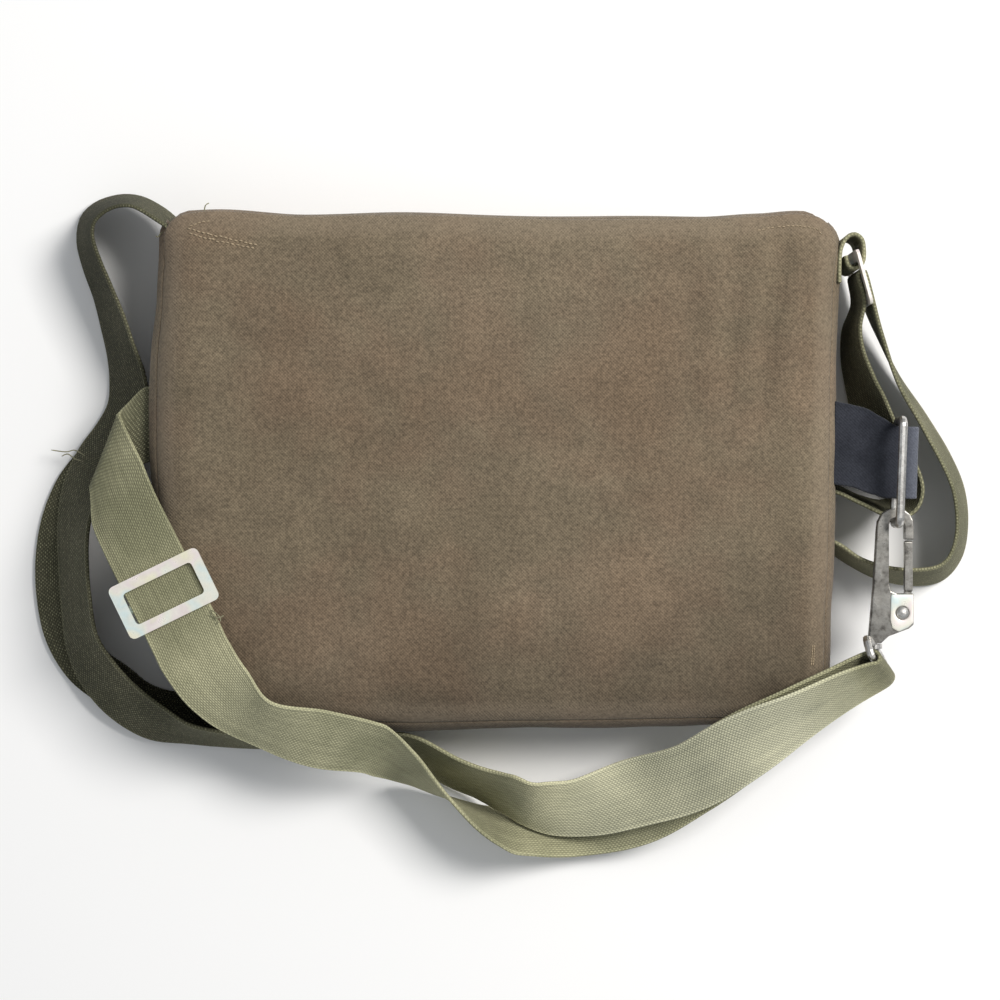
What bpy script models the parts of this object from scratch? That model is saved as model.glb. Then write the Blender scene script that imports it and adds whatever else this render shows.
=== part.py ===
"""Messenger bag lying on its front, back panel up, with its webbing straps laid round it.

Lengths are millimetres in the driving values and metres in the meshes. X runs along the bag, Y
towards its top edge, Z up. The origin is on the flap's outer face, on which the bag rests.
A strap is a flat ribbon. Its route is a list of stations (x, y, z, bearing, tilt): the point on its
centre line, and the direction of its width as a compass bearing in plan and a slope, in degrees.
"""

import math

import bmesh
import bpy
from mathutils import Matrix, Vector

MM = 0.001

# Bag body
BAG_LEFT, BAG_RIGHT = -179.0, 179.0
BAG_BOTTOM, BAG_TOP = -135.0, 133.0
CORNERS = {"bottom_left": 26.0, "bottom_right": 26.0, "top_right": 22.0, "top_left": 20.0}
CANVAS = 1.6
BACK_EDGE = [(4.2, 49.93), (4.8, 50.9), (9.0, 55.0), (16.0, 58.3), (26.0, 60.0)]
GUSSET_EDGE = [(3.0, 6.5), (0.6, 13.0), (0.0, 22.0), (0.0, 34.0), (1.0, 43.0), (3.4, 48.6),
               (4.0, 49.6)]
FRONT_Z, FRONT_INSET = 4.6, 3.6
# The front sags to the floor below the flap's end: half width, low Y, high Y, height
BELLY = [(118.0, -120.5, -105.5, 0.0), (121.0, -123.5, -102.5, 1.2), (123.0, -125.5, -100.5, 5.4)]

# Flap: from the back panel's top edge over the mouth and under the front panel
FLAP_HALF = 158.0
FLAP_LOW = 1.7
FLAP_TIP_Y = -95.0
FLAP_SECTION = [(129.2, 49.3), (131.6, 44.0), (133.0, 36.0), (133.0, 14.0), (132.6, 6.0),
                (130.6, 1.8), (126.0, 0.0), (60.0, 0.0), (0.0, 0.0), (FLAP_TIP_Y, 0.0)]
HINGE = (0.0, 129.0, 49.7)

# Snap fasteners
SNAPS = {"left": (-90.0, -78.0), "right": (90.0, -78.0)}
SNAP_HOLE = 7.4

# Webbing
WEBBING = 38.0
WEBBING_THICK = 2.0
TAIL_WIDTH = 26.0  # the narrow dark end beside the bag
STEP = 6.0

RETURN_ROUTE = [
    (-173, 130, 31, 55, -80), (-181, 136, 29, 65, -78), (-190, 141, 28, 78, -77),
    (-198, 142.5, 26, 95, -75), (-206, 141.5, 24, 112, -73), (-214, 138, 22, 130, -70),
    (-219.5, 132, 20, 150, -68), (-220.5, 122, 19.3, 172, -68), (-217, 109, 19.3, 188, -68),
    (-211, 94, 19.3, 193, -67), (-206, 79, 18.8, 194, -63), (-202, 64, 17.8, 192, -60),
    (-198.5, 49, 16.6, 188, -53), (-198, 34, 17, 176, -48), (-204, 19, 17.8, 160, -45),
    (-214.5, 4, 19, 155, -46), (-222.5, -12, 20.5, 166, -49), (-226, -30, 23, 178, -55),
    (-226, -50, 25, 186, -57), (-224.5, -72, 25.5, 190, -57), (-221.5, -92, 25.5, 196, -54),
    (-213.5, -109, 23.5, 208, -48), (-200.5, -124.5, 21.5, 221, -46),
    (-184, -136, 20.5, 236, -52), (-165, -142, 22.5, 252, -68), (-145, -145, 22.5, 262, -73),
    (-124, -146, 20, 268, -72), (-92, -147, 18.9, 268, -70), (-64, -148, 18.9, 262, -66),
    (-46, -151, 18.7, 250, -62), (-23, -163.5, 18.6, 237, -60), (-5.5, -169.8, 22.2, 245, -60),
    (7, -174, 31, 250, -54), (19, -179, 34, 258, -46), (42, -181.5, 26, 272, -30),
    (74, -173, 29, 283, -8), (102, -163.5, 42, 298, -7), (127, -147, 57, 300, -15),
    (155, -131, 61, 300, -40), (183, -115.5, 59, 304, -54),
]
FRONT_ROUTE = [
    (-180, 24, 38, 270, 0), (-190, 20.5, 37.6, 264, 0), (-199, 15, 37.6, 256, 0),
    (-205, 10.8, 38.2, 251, 0), (-206.9, 8.6, 40.4, 249, 0), (-205.6, 5.5, 43, 247, 0),
    (-203.6, -0.5, 45.6, 243, 0), (-199.7, -11, 50.5, 234, 0), (-193.5, -24.5, 57, 222, 0),
    (-184.5, -41, 63.6, 211, 0), (-172, -65.5, 65, 206, 0), (-160, -90, 65, 206, 0),
    (-155.5, -99, 64.8, 208, -2), (-144, -115, 64, 220, -16), (-124, -133, 56, 240, -44),
    (-92, -142.5, 51.5, 250, -30), (-64, -148.5, 44, 254, -42), (-46, -161, 28, 240, -62),
    (-29, -174.5, 22.6, 236, -80), (-9, -187, 22.4, 66, -78), (5, -191.5, 19.5, 72, -62),
    (20, -191.5, 13.9, 82, -38), (44, -191, 7.4, 92, -14), (75, -184, 17.5, 104, 4),
    (102, -166.5, 35.5, 118, 7), (126.5, -147.5, 52.5, 120, 15), (153.5, -129, 57, 120, 40),
    (181.5, -112, 55.5, 124, 54),
]
TAIL_ROUTE = [
    (-216, 4, 6.2, 158, -20), (-227, -11, 5.6, 168, -16), (-234.8, -30, 4.6, 178, -13),
    (-237.8, -50, 4.5, 184, -12), (-236.8, -72, 4.5, 188, -12), (-232.5, -90, 4.5, 197, -12),
    (-222.5, -106, 4.1, 210, -9), (-207.5, -118, 3.2, 226, -4), (-195, -128, 2.2, 243, 0),
    (-180, -133.4, 2.0, 260, 0), (-162, -134.6, 2.0, 267, 0), (-145, -134.6, 2.0, 270, 0),
]
SIDE_ROUTE = [
    (181.4, -43, 20, 250, -84), (192, -50, 20, 240, -84), (207, -56, 19.8, 255, -80),
    (224, -58.5, 19.7, 272, -76), (238, -56, 19.7, 300, -73), (246.5, -46, 19.6, 330, -72),
    (249.5, -31, 19.6, 350, -72), (247.5, -12, 19.6, 10, -72), (240.5, 5, 19.6, 22, -72),
    (229, 25, 20.5, 30, -74), (215, 47, 22.5, 30, -78), (204.8, 70, 26, 20, -84),
    (197.6, 88.9, 30.3, 15, -89), (194.4, 100, 30.5, 15, -89.5), (193.5, 102.6, 30.5, 15, -89.5),
    (191.3, 103.4, 30.5, 15, -89.5), (189.8, 101.4, 30.5, 15, -89.5),
    (190.2, 98.4, 30.5, 15, -89.5), (192.2, 87.2, 30.3, 190, -88), (189.5, 74, 26, 190, -84),
    (190.5, 60, 23, 200, -80), (195, 45, 20.3, 205, -74), (199.2, 34, 19, 208, -68),
    (206, 16, 18.3, 205, -64), (214.5, 0, 18.3, 195, -64), (218.5, -11, 18.3, 170, -66),
    (217, -19.5, 18.9, 130, -72), (208, -22, 19.2, 95, -77), (194, -17, 20, 75, -82),
    (181.6, -11, 20, 65, -82),
]
LOOP_ROUTE = [
    (180.1, 97), (180.1, 106), (180.8, 114.5), (183.8, 120.6), (188.2, 122.4), (191.9, 119.6),
    (192.9, 114.5), (192.7, 109), (191, 105.7), (187.6, 104.3), (184.7, 106.3), (183.5, 111),
]
LOOP_Z = 30.5

# Slides: stamped adjusters for the webbing
SLIDE_LENGTH, SLIDE_WIDTH = 51.0, 29.5
SLIDE_BAR, SLIDE_THICK = 5.9, 1.6
SLIDE_CENTRE_BAR = 4.0
LEFT_SLIDE_AT = (-172.0, -65.5, 65.0)
LEFT_SLIDE_BEARING = 26.0
LEFT_SLIDE_ABOVE = 1.9
RIGHT_SLIDE_AT = (192.2, 99.6, 30.5)
RIGHT_SLIDE_LEAN = 15.4

# Tab and ring on the right side
TAB_THICK = 1.8
TAB_SECTION = [
    (180.3, 13, 44.5), (190, 10.5, 44.5), (200, 6.4, 44.5), (208, 3.2, 44.5), (215, 2.5, 44.5),
    (219.5, 2.4, 43.6), (221.3, 2.4, 41), (219.5, 2.4, 38.3), (215, 2.5, 37.4),
    (208, 3.2, 37.4), (200, 6.4, 37.4), (190, 10.5, 37.4), (180.3, 13, 37.4),
]
RING_WIRE = 4.5
RING_LENGTH, RING_SPAN = 59.0, 20.0
RING_AT = (210.6, -2.6, 51.0)
RING_SLANT = 2.0

# Snap hook
HOOK_Z, HOOK_THICK = 47.5, 6.0
HOOK_OUTLINE = [
    (199.2, -34), (199.8, -28.5), (202, -24.4), (205.5, -22.2), (209.5, -21.6), (213.5, -22.3),
    (216.6, -24.6), (218.2, -28), (218.6, -32), (218.6, -38), (213.9, -38), (213.7, -30.5),
    (212.4, -27.4), (209.6, -26), (207, -27.2), (205.7, -30), (205.6, -35), (205.6, -61),
    (206.8, -65), (210, -66.2), (218.6, -66.2), (218.6, -82.5), (216, -84.6), (205.5, -88.6),
    (201.5, -92.3), (194.5, -92.3), (195.4, -87), (197.6, -62),
]
GATE_OUTLINE = [(213.9, -38.5), (218.2, -38.5), (218.2, -65.4), (213.9, -65.4)]
GATE_TAIL = [(214.2, -64), (217.9, -64), (217.2, -72), (216.0, -78.2), (213.4, -79.9),
             (210.6, -79.2), (209.3, -76.3), (210.4, -73.2), (213.2, -69.5)]
GATE_PIVOT = (212.6, -76.3)
SLOT_HALF = 1.6
NECK_X = 198.0
NECK_END_Y = -92.3
PIN_R, PIN_HOLE_R = 1.5, 1.85

# Swivel eye: its bar carries the strap
EYE_BAR_AT = Vector((200.5, -104.8, 52.5))
EYE_BAR_DIRECTION = Vector((0.332, -0.332, -0.883)).normalized()
EYE_HALF = 24.0
EYE_WIRE = 4.0
COLLAR_AT = Vector((NECK_X, -94.0, HOOK_Z))
WRAP_RADIUS = 3.5
RETURN_WIDTH, FRONT_WIDTH = (315, -62), (135, 62)


def clear_scene():
    for old in list(bpy.data.objects):
        bpy.data.objects.remove(old, do_unlink=True)
    bag = bpy.data.collections.new("messenger_bag")
    cutters = bpy.data.collections.new("cutters")
    for collection in (bag, cutters):
        bpy.context.scene.collection.children.link(collection)
    return bag, cutters


BAG, CUTTERS = clear_scene()


def finish_material(name, colour, roughness, metallic=0.0):
    made = bpy.data.materials.new(name)
    made.use_nodes = True
    shader = made.node_tree.nodes["Principled BSDF"]
    shader.inputs["Base Color"].default_value = (*colour, 1.0)
    shader.inputs["Roughness"].default_value = roughness
    shader.inputs["Metallic"].default_value = metallic
    made.diffuse_color = (*colour, 1.0)
    return made


CANVAS_BROWN = finish_material("brown_canvas", (0.19, 0.145, 0.10), 0.9)
OLIVE_WEBBING = finish_material("olive_webbing", (0.30, 0.29, 0.19), 0.85)
NAVY_FELT = finish_material("navy_felt", (0.03, 0.033, 0.045), 0.95)
ZINC = finish_material("pale_zinc", (0.78, 0.76, 0.72), 0.3, 1.0)
STEEL = finish_material("worn_steel", (0.45, 0.43, 0.40), 0.35, 1.0)


def add_object(name, data, material, parent=None, collection=None):
    made = bpy.data.objects.new(name, data)
    (collection or BAG).objects.link(made)
    if material:
        data.materials.append(material)
    made.parent = parent
    return made


def add_empty(name, place):
    made = bpy.data.objects.new(name, None)
    made.location = Vector(place) * MM
    BAG.objects.link(made)
    bpy.context.view_layer.update()
    return made


def hang(child, parent):
    """Parents a piece to the empty on its joint's axis, and leaves the piece where it is."""
    child.parent = parent
    child.matrix_parent_inverse = parent.matrix_world.inverted()


def mesh_object(name, shape, material, collection=None):
    bmesh.ops.recalc_face_normals(shape, faces=shape.faces)
    data = bpy.data.meshes.new(name)
    shape.to_mesh(data)
    shape.free()
    return add_object(name, data, material, collection=collection)


def thicken(target, thickness):
    solid = target.modifiers.new("thickness", "SOLIDIFY")
    solid.thickness = thickness * MM
    solid.offset = -1.0
    return solid


def corner_arc(centre, radius, first, count=6):
    angles = [math.radians(first + 90.0 * i / count) for i in range(count + 1)]
    return [(centre[0] + radius * math.cos(a), centre[1] + radius * math.sin(a)) for a in angles]


def bag_outline(inset):
    """The bag's outline in plan, pulled in by inset, anticlockwise from the top right corner."""
    spots = (("top_right", BAG_RIGHT, BAG_TOP, -1, -1, 0), ("top_left", BAG_LEFT, BAG_TOP, 1, -1, 90),
             ("bottom_left", BAG_LEFT, BAG_BOTTOM, 1, 1, 180),
             ("bottom_right", BAG_RIGHT, BAG_BOTTOM, -1, 1, 270))
    points = []
    for name, x, y, in_x, in_y, first in spots:
        radius = CORNERS[name]
        centre = (x + in_x * radius, y + in_y * radius)
        if inset < radius - 2.0:
            points += corner_arc(centre, radius - inset, first)
        else:
            centre = (x + in_x * (inset + 2.0), y + in_y * (inset + 2.0))
            points += corner_arc(centre, 2.0, first)
    return points


def loft(levels, closed=True, capped=False):
    """A skin through outlines that all have the same number of points, lowest outline first."""
    shape = bmesh.new()
    rings = [[shape.verts.new((x * MM, y * MM, z * MM)) for x, y in outline]
             for outline, z in levels]
    for low, high in zip(rings, rings[1:]):
        count = len(low)
        for i in range(count if closed else count - 1):
            j = (i + 1) % count
            shape.faces.new((low[i], low[j], high[j], high[i]))
    if capped:
        shape.faces.new(rings[-1])
    return shape


def make_back_panel():
    levels = [(bag_outline(inset), z) for inset, z in BACK_EDGE]
    panel = mesh_object("back_panel", loft(levels, capped=True), CANVAS_BROWN)
    thicken(panel, CANVAS)
    return panel


def make_gusset():
    """The U-shaped side strip, from the top left corner round the bottom to the top right one."""
    levels = []
    for inset, z in GUSSET_EDGE:
        outline = bag_outline(inset)
        levels.append((outline[10:] + outline[:4], z))
    strip = mesh_object("gusset", loft(levels, closed=False), CANVAS_BROWN)
    flip_outward(strip, Vector((0, 0, 25 * MM)))
    thicken(strip, CANVAS)
    return strip


def flip_outward(target, inside):
    """Turns an open skin's faces away from a point inside it."""
    shape = bmesh.new()
    shape.from_mesh(target.data)
    toward = sum((face.normal.dot(face.calc_center_median() - inside) * face.calc_area()
                  for face in shape.faces))
    if toward < 0:
        bmesh.ops.reverse_faces(shape, faces=shape.faces)
    shape.to_mesh(target.data)
    shape.free()


def flat_plate(name, outlines, thickness, material, cyclic=True):
    """A flat outline with holes, extruded to half its thickness each way."""
    data = bpy.data.curves.new(name, "CURVE")
    data.dimensions = "2D"
    data.fill_mode = "BOTH"
    data.extrude = 0.5 * thickness * MM
    for outline in outlines:
        spline = data.splines.new("POLY")
        spline.points.add(len(outline) - 1)
        for point, (x, y) in zip(spline.points, outline):
            point.co = (x * MM, y * MM, 0.0, 1.0)
        spline.use_cyclic_u = cyclic
    return add_object(name, data, material)


def as_mesh(target):
    """Turns a curve object into a mesh object with the same name, place and material."""
    bpy.context.view_layer.update()
    graph = bpy.context.evaluated_depsgraph_get()
    data = bpy.data.meshes.new_from_object(target.evaluated_get(graph))
    shape = bmesh.new()
    shape.from_mesh(data)
    bmesh.ops.remove_doubles(shape, verts=shape.verts, dist=0.00001)
    bmesh.ops.recalc_face_normals(shape, faces=shape.faces)
    shape.to_mesh(data)
    shape.free()
    name, place = target.name, target.matrix_world.copy()
    materials = list(target.data.materials)
    bpy.data.objects.remove(target, do_unlink=True)
    made = bpy.data.objects.new(name, data)
    made.matrix_world = place
    BAG.objects.link(made)
    data.materials.clear()
    for material in materials:
        data.materials.append(material)
    return made


def circle(centre, radius, count=20):
    return [(centre[0] + radius * math.cos(2 * math.pi * i / count),
             centre[1] + radius * math.sin(2 * math.pi * i / count)) for i in range(count)]


def make_front_panel():
    outlines = [bag_outline(FRONT_INSET)]
    outlines += [circle(spot, 2.0, 12) for spot in SNAPS.values()]
    panel = flat_plate("front_panel", outlines, CANVAS, CANVAS_BROWN)
    panel.location.z = (FRONT_Z + 0.5 * CANVAS) * MM
    panel = as_mesh(panel)
    levels = [([(-half, low), (half, low), (half, high), (-half, high)], z)
              for half, low, high, z in BELLY]
    shape = loft(levels, capped=True)
    shape.faces.new(reversed([v for v in shape.verts if v.co.z < 0.5 * MM]))
    belly = mesh_object("belly", shape, CANVAS_BROWN, CUTTERS)
    join_with(panel, hidden(belly), "UNION")
    return panel


def cylinder(name, centre, radius, depth, axis="Z", segments=24, collection=None, material=None):
    shape = bmesh.new()
    bmesh.ops.create_cone(shape, cap_ends=True, segments=segments, radius1=radius * MM,
                          radius2=radius * MM, depth=depth * MM)
    turn = {"Z": Matrix(), "Y": Matrix.Rotation(math.radians(90), 4, "X"),
            "X": Matrix.Rotation(math.radians(90), 4, "Y")}[axis]
    bmesh.ops.transform(shape, matrix=turn, verts=shape.verts)
    made = mesh_object(name, shape, material, collection)
    made.location = Vector(centre) * MM
    return made


def box_cutter(name, low, high):
    shape = bmesh.new()
    bmesh.ops.create_cube(shape, size=1.0)
    size = [(b - a) * MM for a, b in zip(low, high)]
    bmesh.ops.scale(shape, vec=size, verts=shape.verts)
    made = mesh_object(name, shape, None, CUTTERS)
    made.location = [(a + b) * 0.5 * MM for a, b in zip(low, high)]
    return hidden(made)


def hidden(cutter):
    cutter.hide_render = True
    cutter.display_type = "WIRE"
    return cutter


def join_with(target, other, operation):
    step = target.modifiers.new(f"{operation.lower()}_{other.name}", "BOOLEAN")
    step.operation = operation
    step.object = other
    step.solver = "EXACT"


def make_flap(hinge):
    """An L in section: a wall over the mouth, and the cover under the front panel."""
    shape = bmesh.new()
    rows = [[shape.verts.new((x * MM, y * MM, z * MM)) for x in (-FLAP_HALF, FLAP_HALF)]
            for y, z in FLAP_SECTION]
    for first, second in zip(rows, rows[1:]):
        shape.faces.new((first[0], first[1], second[1], second[0]))
    flap = mesh_object("flap", shape, CANVAS_BROWN)
    flip_outward(flap, Vector((0, 0, 25 * MM)))
    thicken(flap, FLAP_LOW)
    for side, (x, y) in SNAPS.items():
        hole = cylinder(f"flap_hole_{side}", (x, y, 1.0), SNAP_HOLE, 6.0, collection=CUTTERS)
        join_with(flap, hidden(hole), "DIFFERENCE")
    hang(flap, hinge)
    return flap


def turned(name, profile, place, material, segments=24):
    """A turned piece. The profile is closed, as (radius, height) pairs, outer side top to bottom."""
    shape = bmesh.new()
    corners = [shape.verts.new((r * MM, 0.0, z * MM)) for r, z in profile]
    on_axis = profile[0][0] == 0.0
    pairs = list(zip(corners, corners[1:]))
    if not on_axis:
        pairs.append((corners[-1], corners[0]))
    for first, second in pairs:
        shape.edges.new((first, second))
    data = bpy.data.meshes.new(name)
    shape.to_mesh(data)
    shape.free()
    made = add_object(name, data, material)
    made.location = Vector(place) * MM
    screw = made.modifiers.new("turn", "SCREW")
    screw.axis = "Z"
    screw.steps = screw.render_steps = segments
    screw.use_merge_vertices = True
    screw.merge_threshold = 0.00002
    return made


def make_snap(side, spot, hinge):
    """One snap fastener: cap and socket clamp the flap, stud and post clamp the front panel."""
    x, y = spot
    cap = turned(f"snap_cap_{side}", [(0, 0.9), (6.6, 0.9), (7.0, 0.5), (6.8, 0.1), (0, 0.0)],
                 (x, y, 0.0), STEEL)
    socket = turned(f"snap_socket_{side}", [(4.4, 3.3), (6.0, 3.3), (6.8, 2.4), (6.8, 1.2),
                                            (4.4, 1.2)], (x, y, 0.0), STEEL)
    turned(f"snap_stud_{side}", [(0, 2.5), (1.9, 2.5), (1.9, 4.3), (6.0, 4.3), (6.0, 3.7),
                                 (3.2, 3.65), (3.3, 2.4), (2.6, 1.9), (0, 1.8)],
           (x, y, 0.0), STEEL)
    turned(f"snap_post_{side}", [(0, 7.3), (5.4, 7.2), (6.0, 6.9), (6.0, 6.5), (1.4, 6.5),
                                 (1.4, 3.0), (0, 3.0)], (x, y, 0.0), STEEL)
    hang(cap, hinge)
    hang(socket, hinge)


def direction(bearing, tilt):
    b, t = math.radians(bearing), math.radians(tilt)
    return Vector((math.cos(t) * math.cos(b), math.cos(t) * math.sin(b), math.sin(t)))


def smooth(points, i, t):
    """A point on the smooth curve through the list, between entries i and i + 1."""
    a, b = points[max(i - 1, 0)], points[i]
    c, d = points[i + 1], points[min(i + 2, len(points) - 1)]
    return 0.5 * (2 * b + (c - a) * t + (2 * a - 5 * b + 4 * c - d) * t * t
                  + (3 * b - a - 3 * c + d) * t ** 3)


def ribbon_frames(route, step=STEP):
    """Even samples of a route: points on the centre line, and unit vectors along the width."""
    centres = [Vector(row[:3]) for row in route]
    widths = [direction(row[3], row[4]) for row in route]
    points, across = [], []
    for i in range(len(route) - 1):
        length = (centres[i + 1] - centres[i]).length
        count = max(1, round(length / step))
        for k in range(count):
            points.append(smooth(centres, i, k / count))
            across.append(smooth(widths, i, k / count).normalized())
    points.append(centres[-1])
    across.append(widths[-1])
    return points, across


def make_ribbon(name, route, material, width=WEBBING, thickness=WEBBING_THICK, step=STEP):
    """A flat strap along a route. A slanting width is lengthened, so the strap keeps its own."""
    points, across = ribbon_frames(route, step)
    shape = bmesh.new()
    rows = []
    for i, (point, wide) in enumerate(zip(points, across)):
        along = (points[min(i + 1, len(points) - 1)] - points[max(i - 1, 0)]).normalized()
        slant = max(wide.cross(along).length, 0.9)
        reach = wide * (0.5 * width / slant)
        rows.append([shape.verts.new((point + reach * side) * MM) for side in (-1, 0, 1)])
    for first, second in zip(rows, rows[1:]):
        for k in range(2):
            shape.faces.new((first[k], first[k + 1], second[k + 1], second[k]))
    strap = mesh_object(name, shape, material)
    solid = thicken(strap, thickness)
    solid.offset = 0.0
    return strap


def wrap_points(first, last, width_direction):
    """Stations round the eye's bar. 0 is the return run's side, 180 the front run's side."""
    away = Vector((-0.86, -0.5, 0.1)).normalized()
    outward = away.cross(EYE_BAR_DIRECTION).normalized()
    away = EYE_BAR_DIRECTION.cross(outward).normalized()
    stations = []
    count = 5
    for i in range(count):
        angle = math.radians(first + (last - first) * i / (count - 1))
        spot = EYE_BAR_AT + WRAP_RADIUS * (outward * math.cos(angle) - away * math.sin(angle))
        stations.append((*spot, *width_direction))
    return stations


def make_straps():
    make_ribbon("strap_return", RETURN_ROUTE + wrap_points(0, 80, RETURN_WIDTH), OLIVE_WEBBING)
    make_ribbon("strap_front", FRONT_ROUTE + wrap_points(180, 100, FRONT_WIDTH), OLIVE_WEBBING)
    make_ribbon("strap_tail", TAIL_ROUTE, OLIVE_WEBBING, width=TAIL_WIDTH)
    make_ribbon("side_strap", SIDE_ROUTE, OLIVE_WEBBING, step=3.0)
    loop = [(x, y, LOOP_Z, 15, -89.5) for x, y in LOOP_ROUTE]
    make_ribbon("right_loop", loop, OLIVE_WEBBING, step=2.5)
    tab = [(x, y, z, 88, 0) for x, y, z in TAB_SECTION]
    make_ribbon("tab", tab, NAVY_FELT, thickness=TAB_THICK, step=2.5)


def rounded_box(half_x, half_y, radius):
    corners = ((half_x, half_y, -1, -1, 0), (-half_x, half_y, 1, -1, 90),
               (-half_x, -half_y, 1, 1, 180), (half_x, -half_y, -1, 1, 270))
    points = []
    for x, y, in_x, in_y, first in corners:
        points += corner_arc((x + in_x * radius, y + in_y * radius), radius, first, 4)
    return points


def make_slide(name, in_plane_bar):
    """A stamped adjuster in its own frame: length along X, webbing along Y, thickness along Z."""
    half_x, half_y = 0.5 * SLIDE_LENGTH, 0.5 * SLIDE_WIDTH
    outer = rounded_box(half_x, half_y, 3.0)
    window = rounded_box(half_x - SLIDE_BAR, half_y - SLIDE_BAR, 2.0)
    slide = as_mesh(flat_plate(name, [outer, window], SLIDE_THICK, ZINC))
    reach = half_x - SLIDE_BAR + 1.5
    half_bar = 0.5 * SLIDE_CENTRE_BAR
    if in_plane_bar:
        bars = [((-reach, -half_bar, -0.6), (reach, half_bar, 0.6))]
    else:
        drop = 2 * LEFT_SLIDE_ABOVE + SLIDE_THICK
        bars = [((-reach, -half_bar, -drop), (reach, half_bar, -drop + 1.2))]
        for side in (-1, 1):
            post = sorted((side * (half_x - SLIDE_BAR + 0.3), side * reach))
            bars.append(((post[0], -half_bar, -drop), (post[1], half_bar, 0.0)))
    for i, (low, high) in enumerate(bars):
        join_with(slide, box_cutter(f"{name}_bar_{i}", low, high), "UNION")
    for cutter in [step.object for step in slide.modifiers]:
        cutter.parent = slide
    return slide


def make_slides():
    left = make_slide("left_slide", in_plane_bar=False)
    centre = Vector(LEFT_SLIDE_AT) + Vector((0, 0, LEFT_SLIDE_ABOVE + 0.5 * SLIDE_THICK))
    left.rotation_euler = (0, 0, math.radians(LEFT_SLIDE_BEARING))
    left.location = centre * MM
    right = make_slide("right_slide", in_plane_bar=True)
    stand = Matrix.Rotation(math.radians(90), 4, "Y")
    right.matrix_world = (Matrix.Translation(Vector(RIGHT_SLIDE_AT) * MM)
                          @ Matrix.Rotation(math.radians(RIGHT_SLIDE_LEAN), 4, "Z") @ stand)


def wire(name, points, diameter, material, cyclic=True, resolution=3):
    data = bpy.data.curves.new(name, "CURVE")
    data.dimensions = "3D"
    data.bevel_depth = 0.5 * diameter * MM
    data.bevel_resolution = resolution
    data.use_fill_caps = True
    spline = data.splines.new("POLY")
    spline.points.add(len(points) - 1)
    for point, place in zip(spline.points, points):
        point.co = (*(Vector(place) * MM), 1.0)
    spline.use_cyclic_u = cyclic
    return add_object(name, data, material)


def make_ring(hinge):
    """An oblong wire ring that stands on edge: its lower leg lies in the tab's fold."""
    half_y, half_z = 0.5 * (RING_LENGTH - RING_WIRE), 0.5 * RING_SPAN
    points = [(0.0, y, z) for y, z in rounded_box(half_y, half_z, 3.6)]
    ring = wire("ring", points, RING_WIRE, STEEL)
    ring.matrix_world = (Matrix.Translation(Vector(RING_AT) * MM)
                         @ Matrix.Rotation(math.radians(-RING_SLANT), 4, "Z"))
    bpy.context.view_layer.update()
    hang(ring, hinge)


def make_hook(swivel, pivot):
    body = flat_plate("hook_body", [HOOK_OUTLINE], HOOK_THICK, STEEL)
    body.location.z = HOOK_Z * MM
    body = as_mesh(body)
    slot = box_cutter("gate_slot", (206.6, -84.2, HOOK_Z - SLOT_HALF),
                      (221.0, -60.0, HOOK_Z + SLOT_HALF))
    join_with(body, slot, "DIFFERENCE")
    bore = cylinder("pivot_bore", (*GATE_PIVOT, HOOK_Z), PIN_HOLE_R, 12.0, collection=CUTTERS)
    join_with(body, hidden(bore), "DIFFERENCE")
    socket = cylinder("neck_bore", (NECK_X, NECK_END_Y + 2.0, HOOK_Z), PIN_HOLE_R, 8.0, "Y",
                      collection=CUTTERS)
    join_with(body, hidden(socket), "DIFFERENCE")
    bevel = body.modifiers.new("edges", "BEVEL")
    bevel.width = 0.0006
    bevel.segments = 2
    bevel.limit_method = "ANGLE"
    bevel.angle_limit = math.radians(50)
    body.modifiers.move(len(body.modifiers) - 1, 0)
    hang(body, swivel)
    make_gate(pivot)
    pin = turned("gate_pin", [(0, 4.6), (1.8, 4.4), (3.0, 3.7), (3.2, 3.3), (PIN_R, 3.3),
                              (PIN_R, -3.3), (3.2, -3.3), (3.0, -3.7), (1.8, -4.4), (0, -4.6)],
                 (*GATE_PIVOT, HOOK_Z), STEEL)
    hang(pin, swivel)
    leaf = [(207.2, -83.4), (207.0, -78.0), (207.3, -73.0), (208.0, -68.5)]
    spring_rows = [(x, y, HOOK_Z, 0, 90) for x, y in leaf]
    spring = make_ribbon("gate_spring", spring_rows, STEEL, width=2.4, thickness=0.4, step=1.5)
    hang(spring, swivel)
    swivel_pin = turned("swivel_pin", [(0, 5.6), (PIN_R, 5.6), (PIN_R, -1.5), (2.9, -1.5),
                                       (2.9, -2.4), (2.2, -2.9), (0, -3.0)],
                        COLLAR_AT, STEEL)
    swivel_pin.rotation_euler = (math.radians(-90), 0, 0)
    bpy.context.view_layer.update()
    hang(swivel_pin, swivel)


def make_gate(pivot):
    sleeve = flat_plate("hook_gate", [GATE_OUTLINE], 5.2, STEEL)
    sleeve.location.z = HOOK_Z * MM
    sleeve = as_mesh(sleeve)
    edges = sleeve.modifiers.new("edges", "BEVEL")
    edges.width = 0.0011
    edges.segments = 3
    tail = flat_plate("gate_tail", [GATE_TAIL], 2.6, None)
    tail.location.z = HOOK_Z * MM
    tail = as_mesh(tail)
    BAG.objects.unlink(tail)
    CUTTERS.objects.link(tail)
    join_with(sleeve, hidden(tail), "UNION")
    hole = cylinder("gate_hole", (*GATE_PIVOT, HOOK_Z), PIN_HOLE_R, 12.0, collection=CUTTERS)
    join_with(sleeve, hidden(hole), "DIFFERENCE")
    hang(sleeve, pivot)


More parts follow.
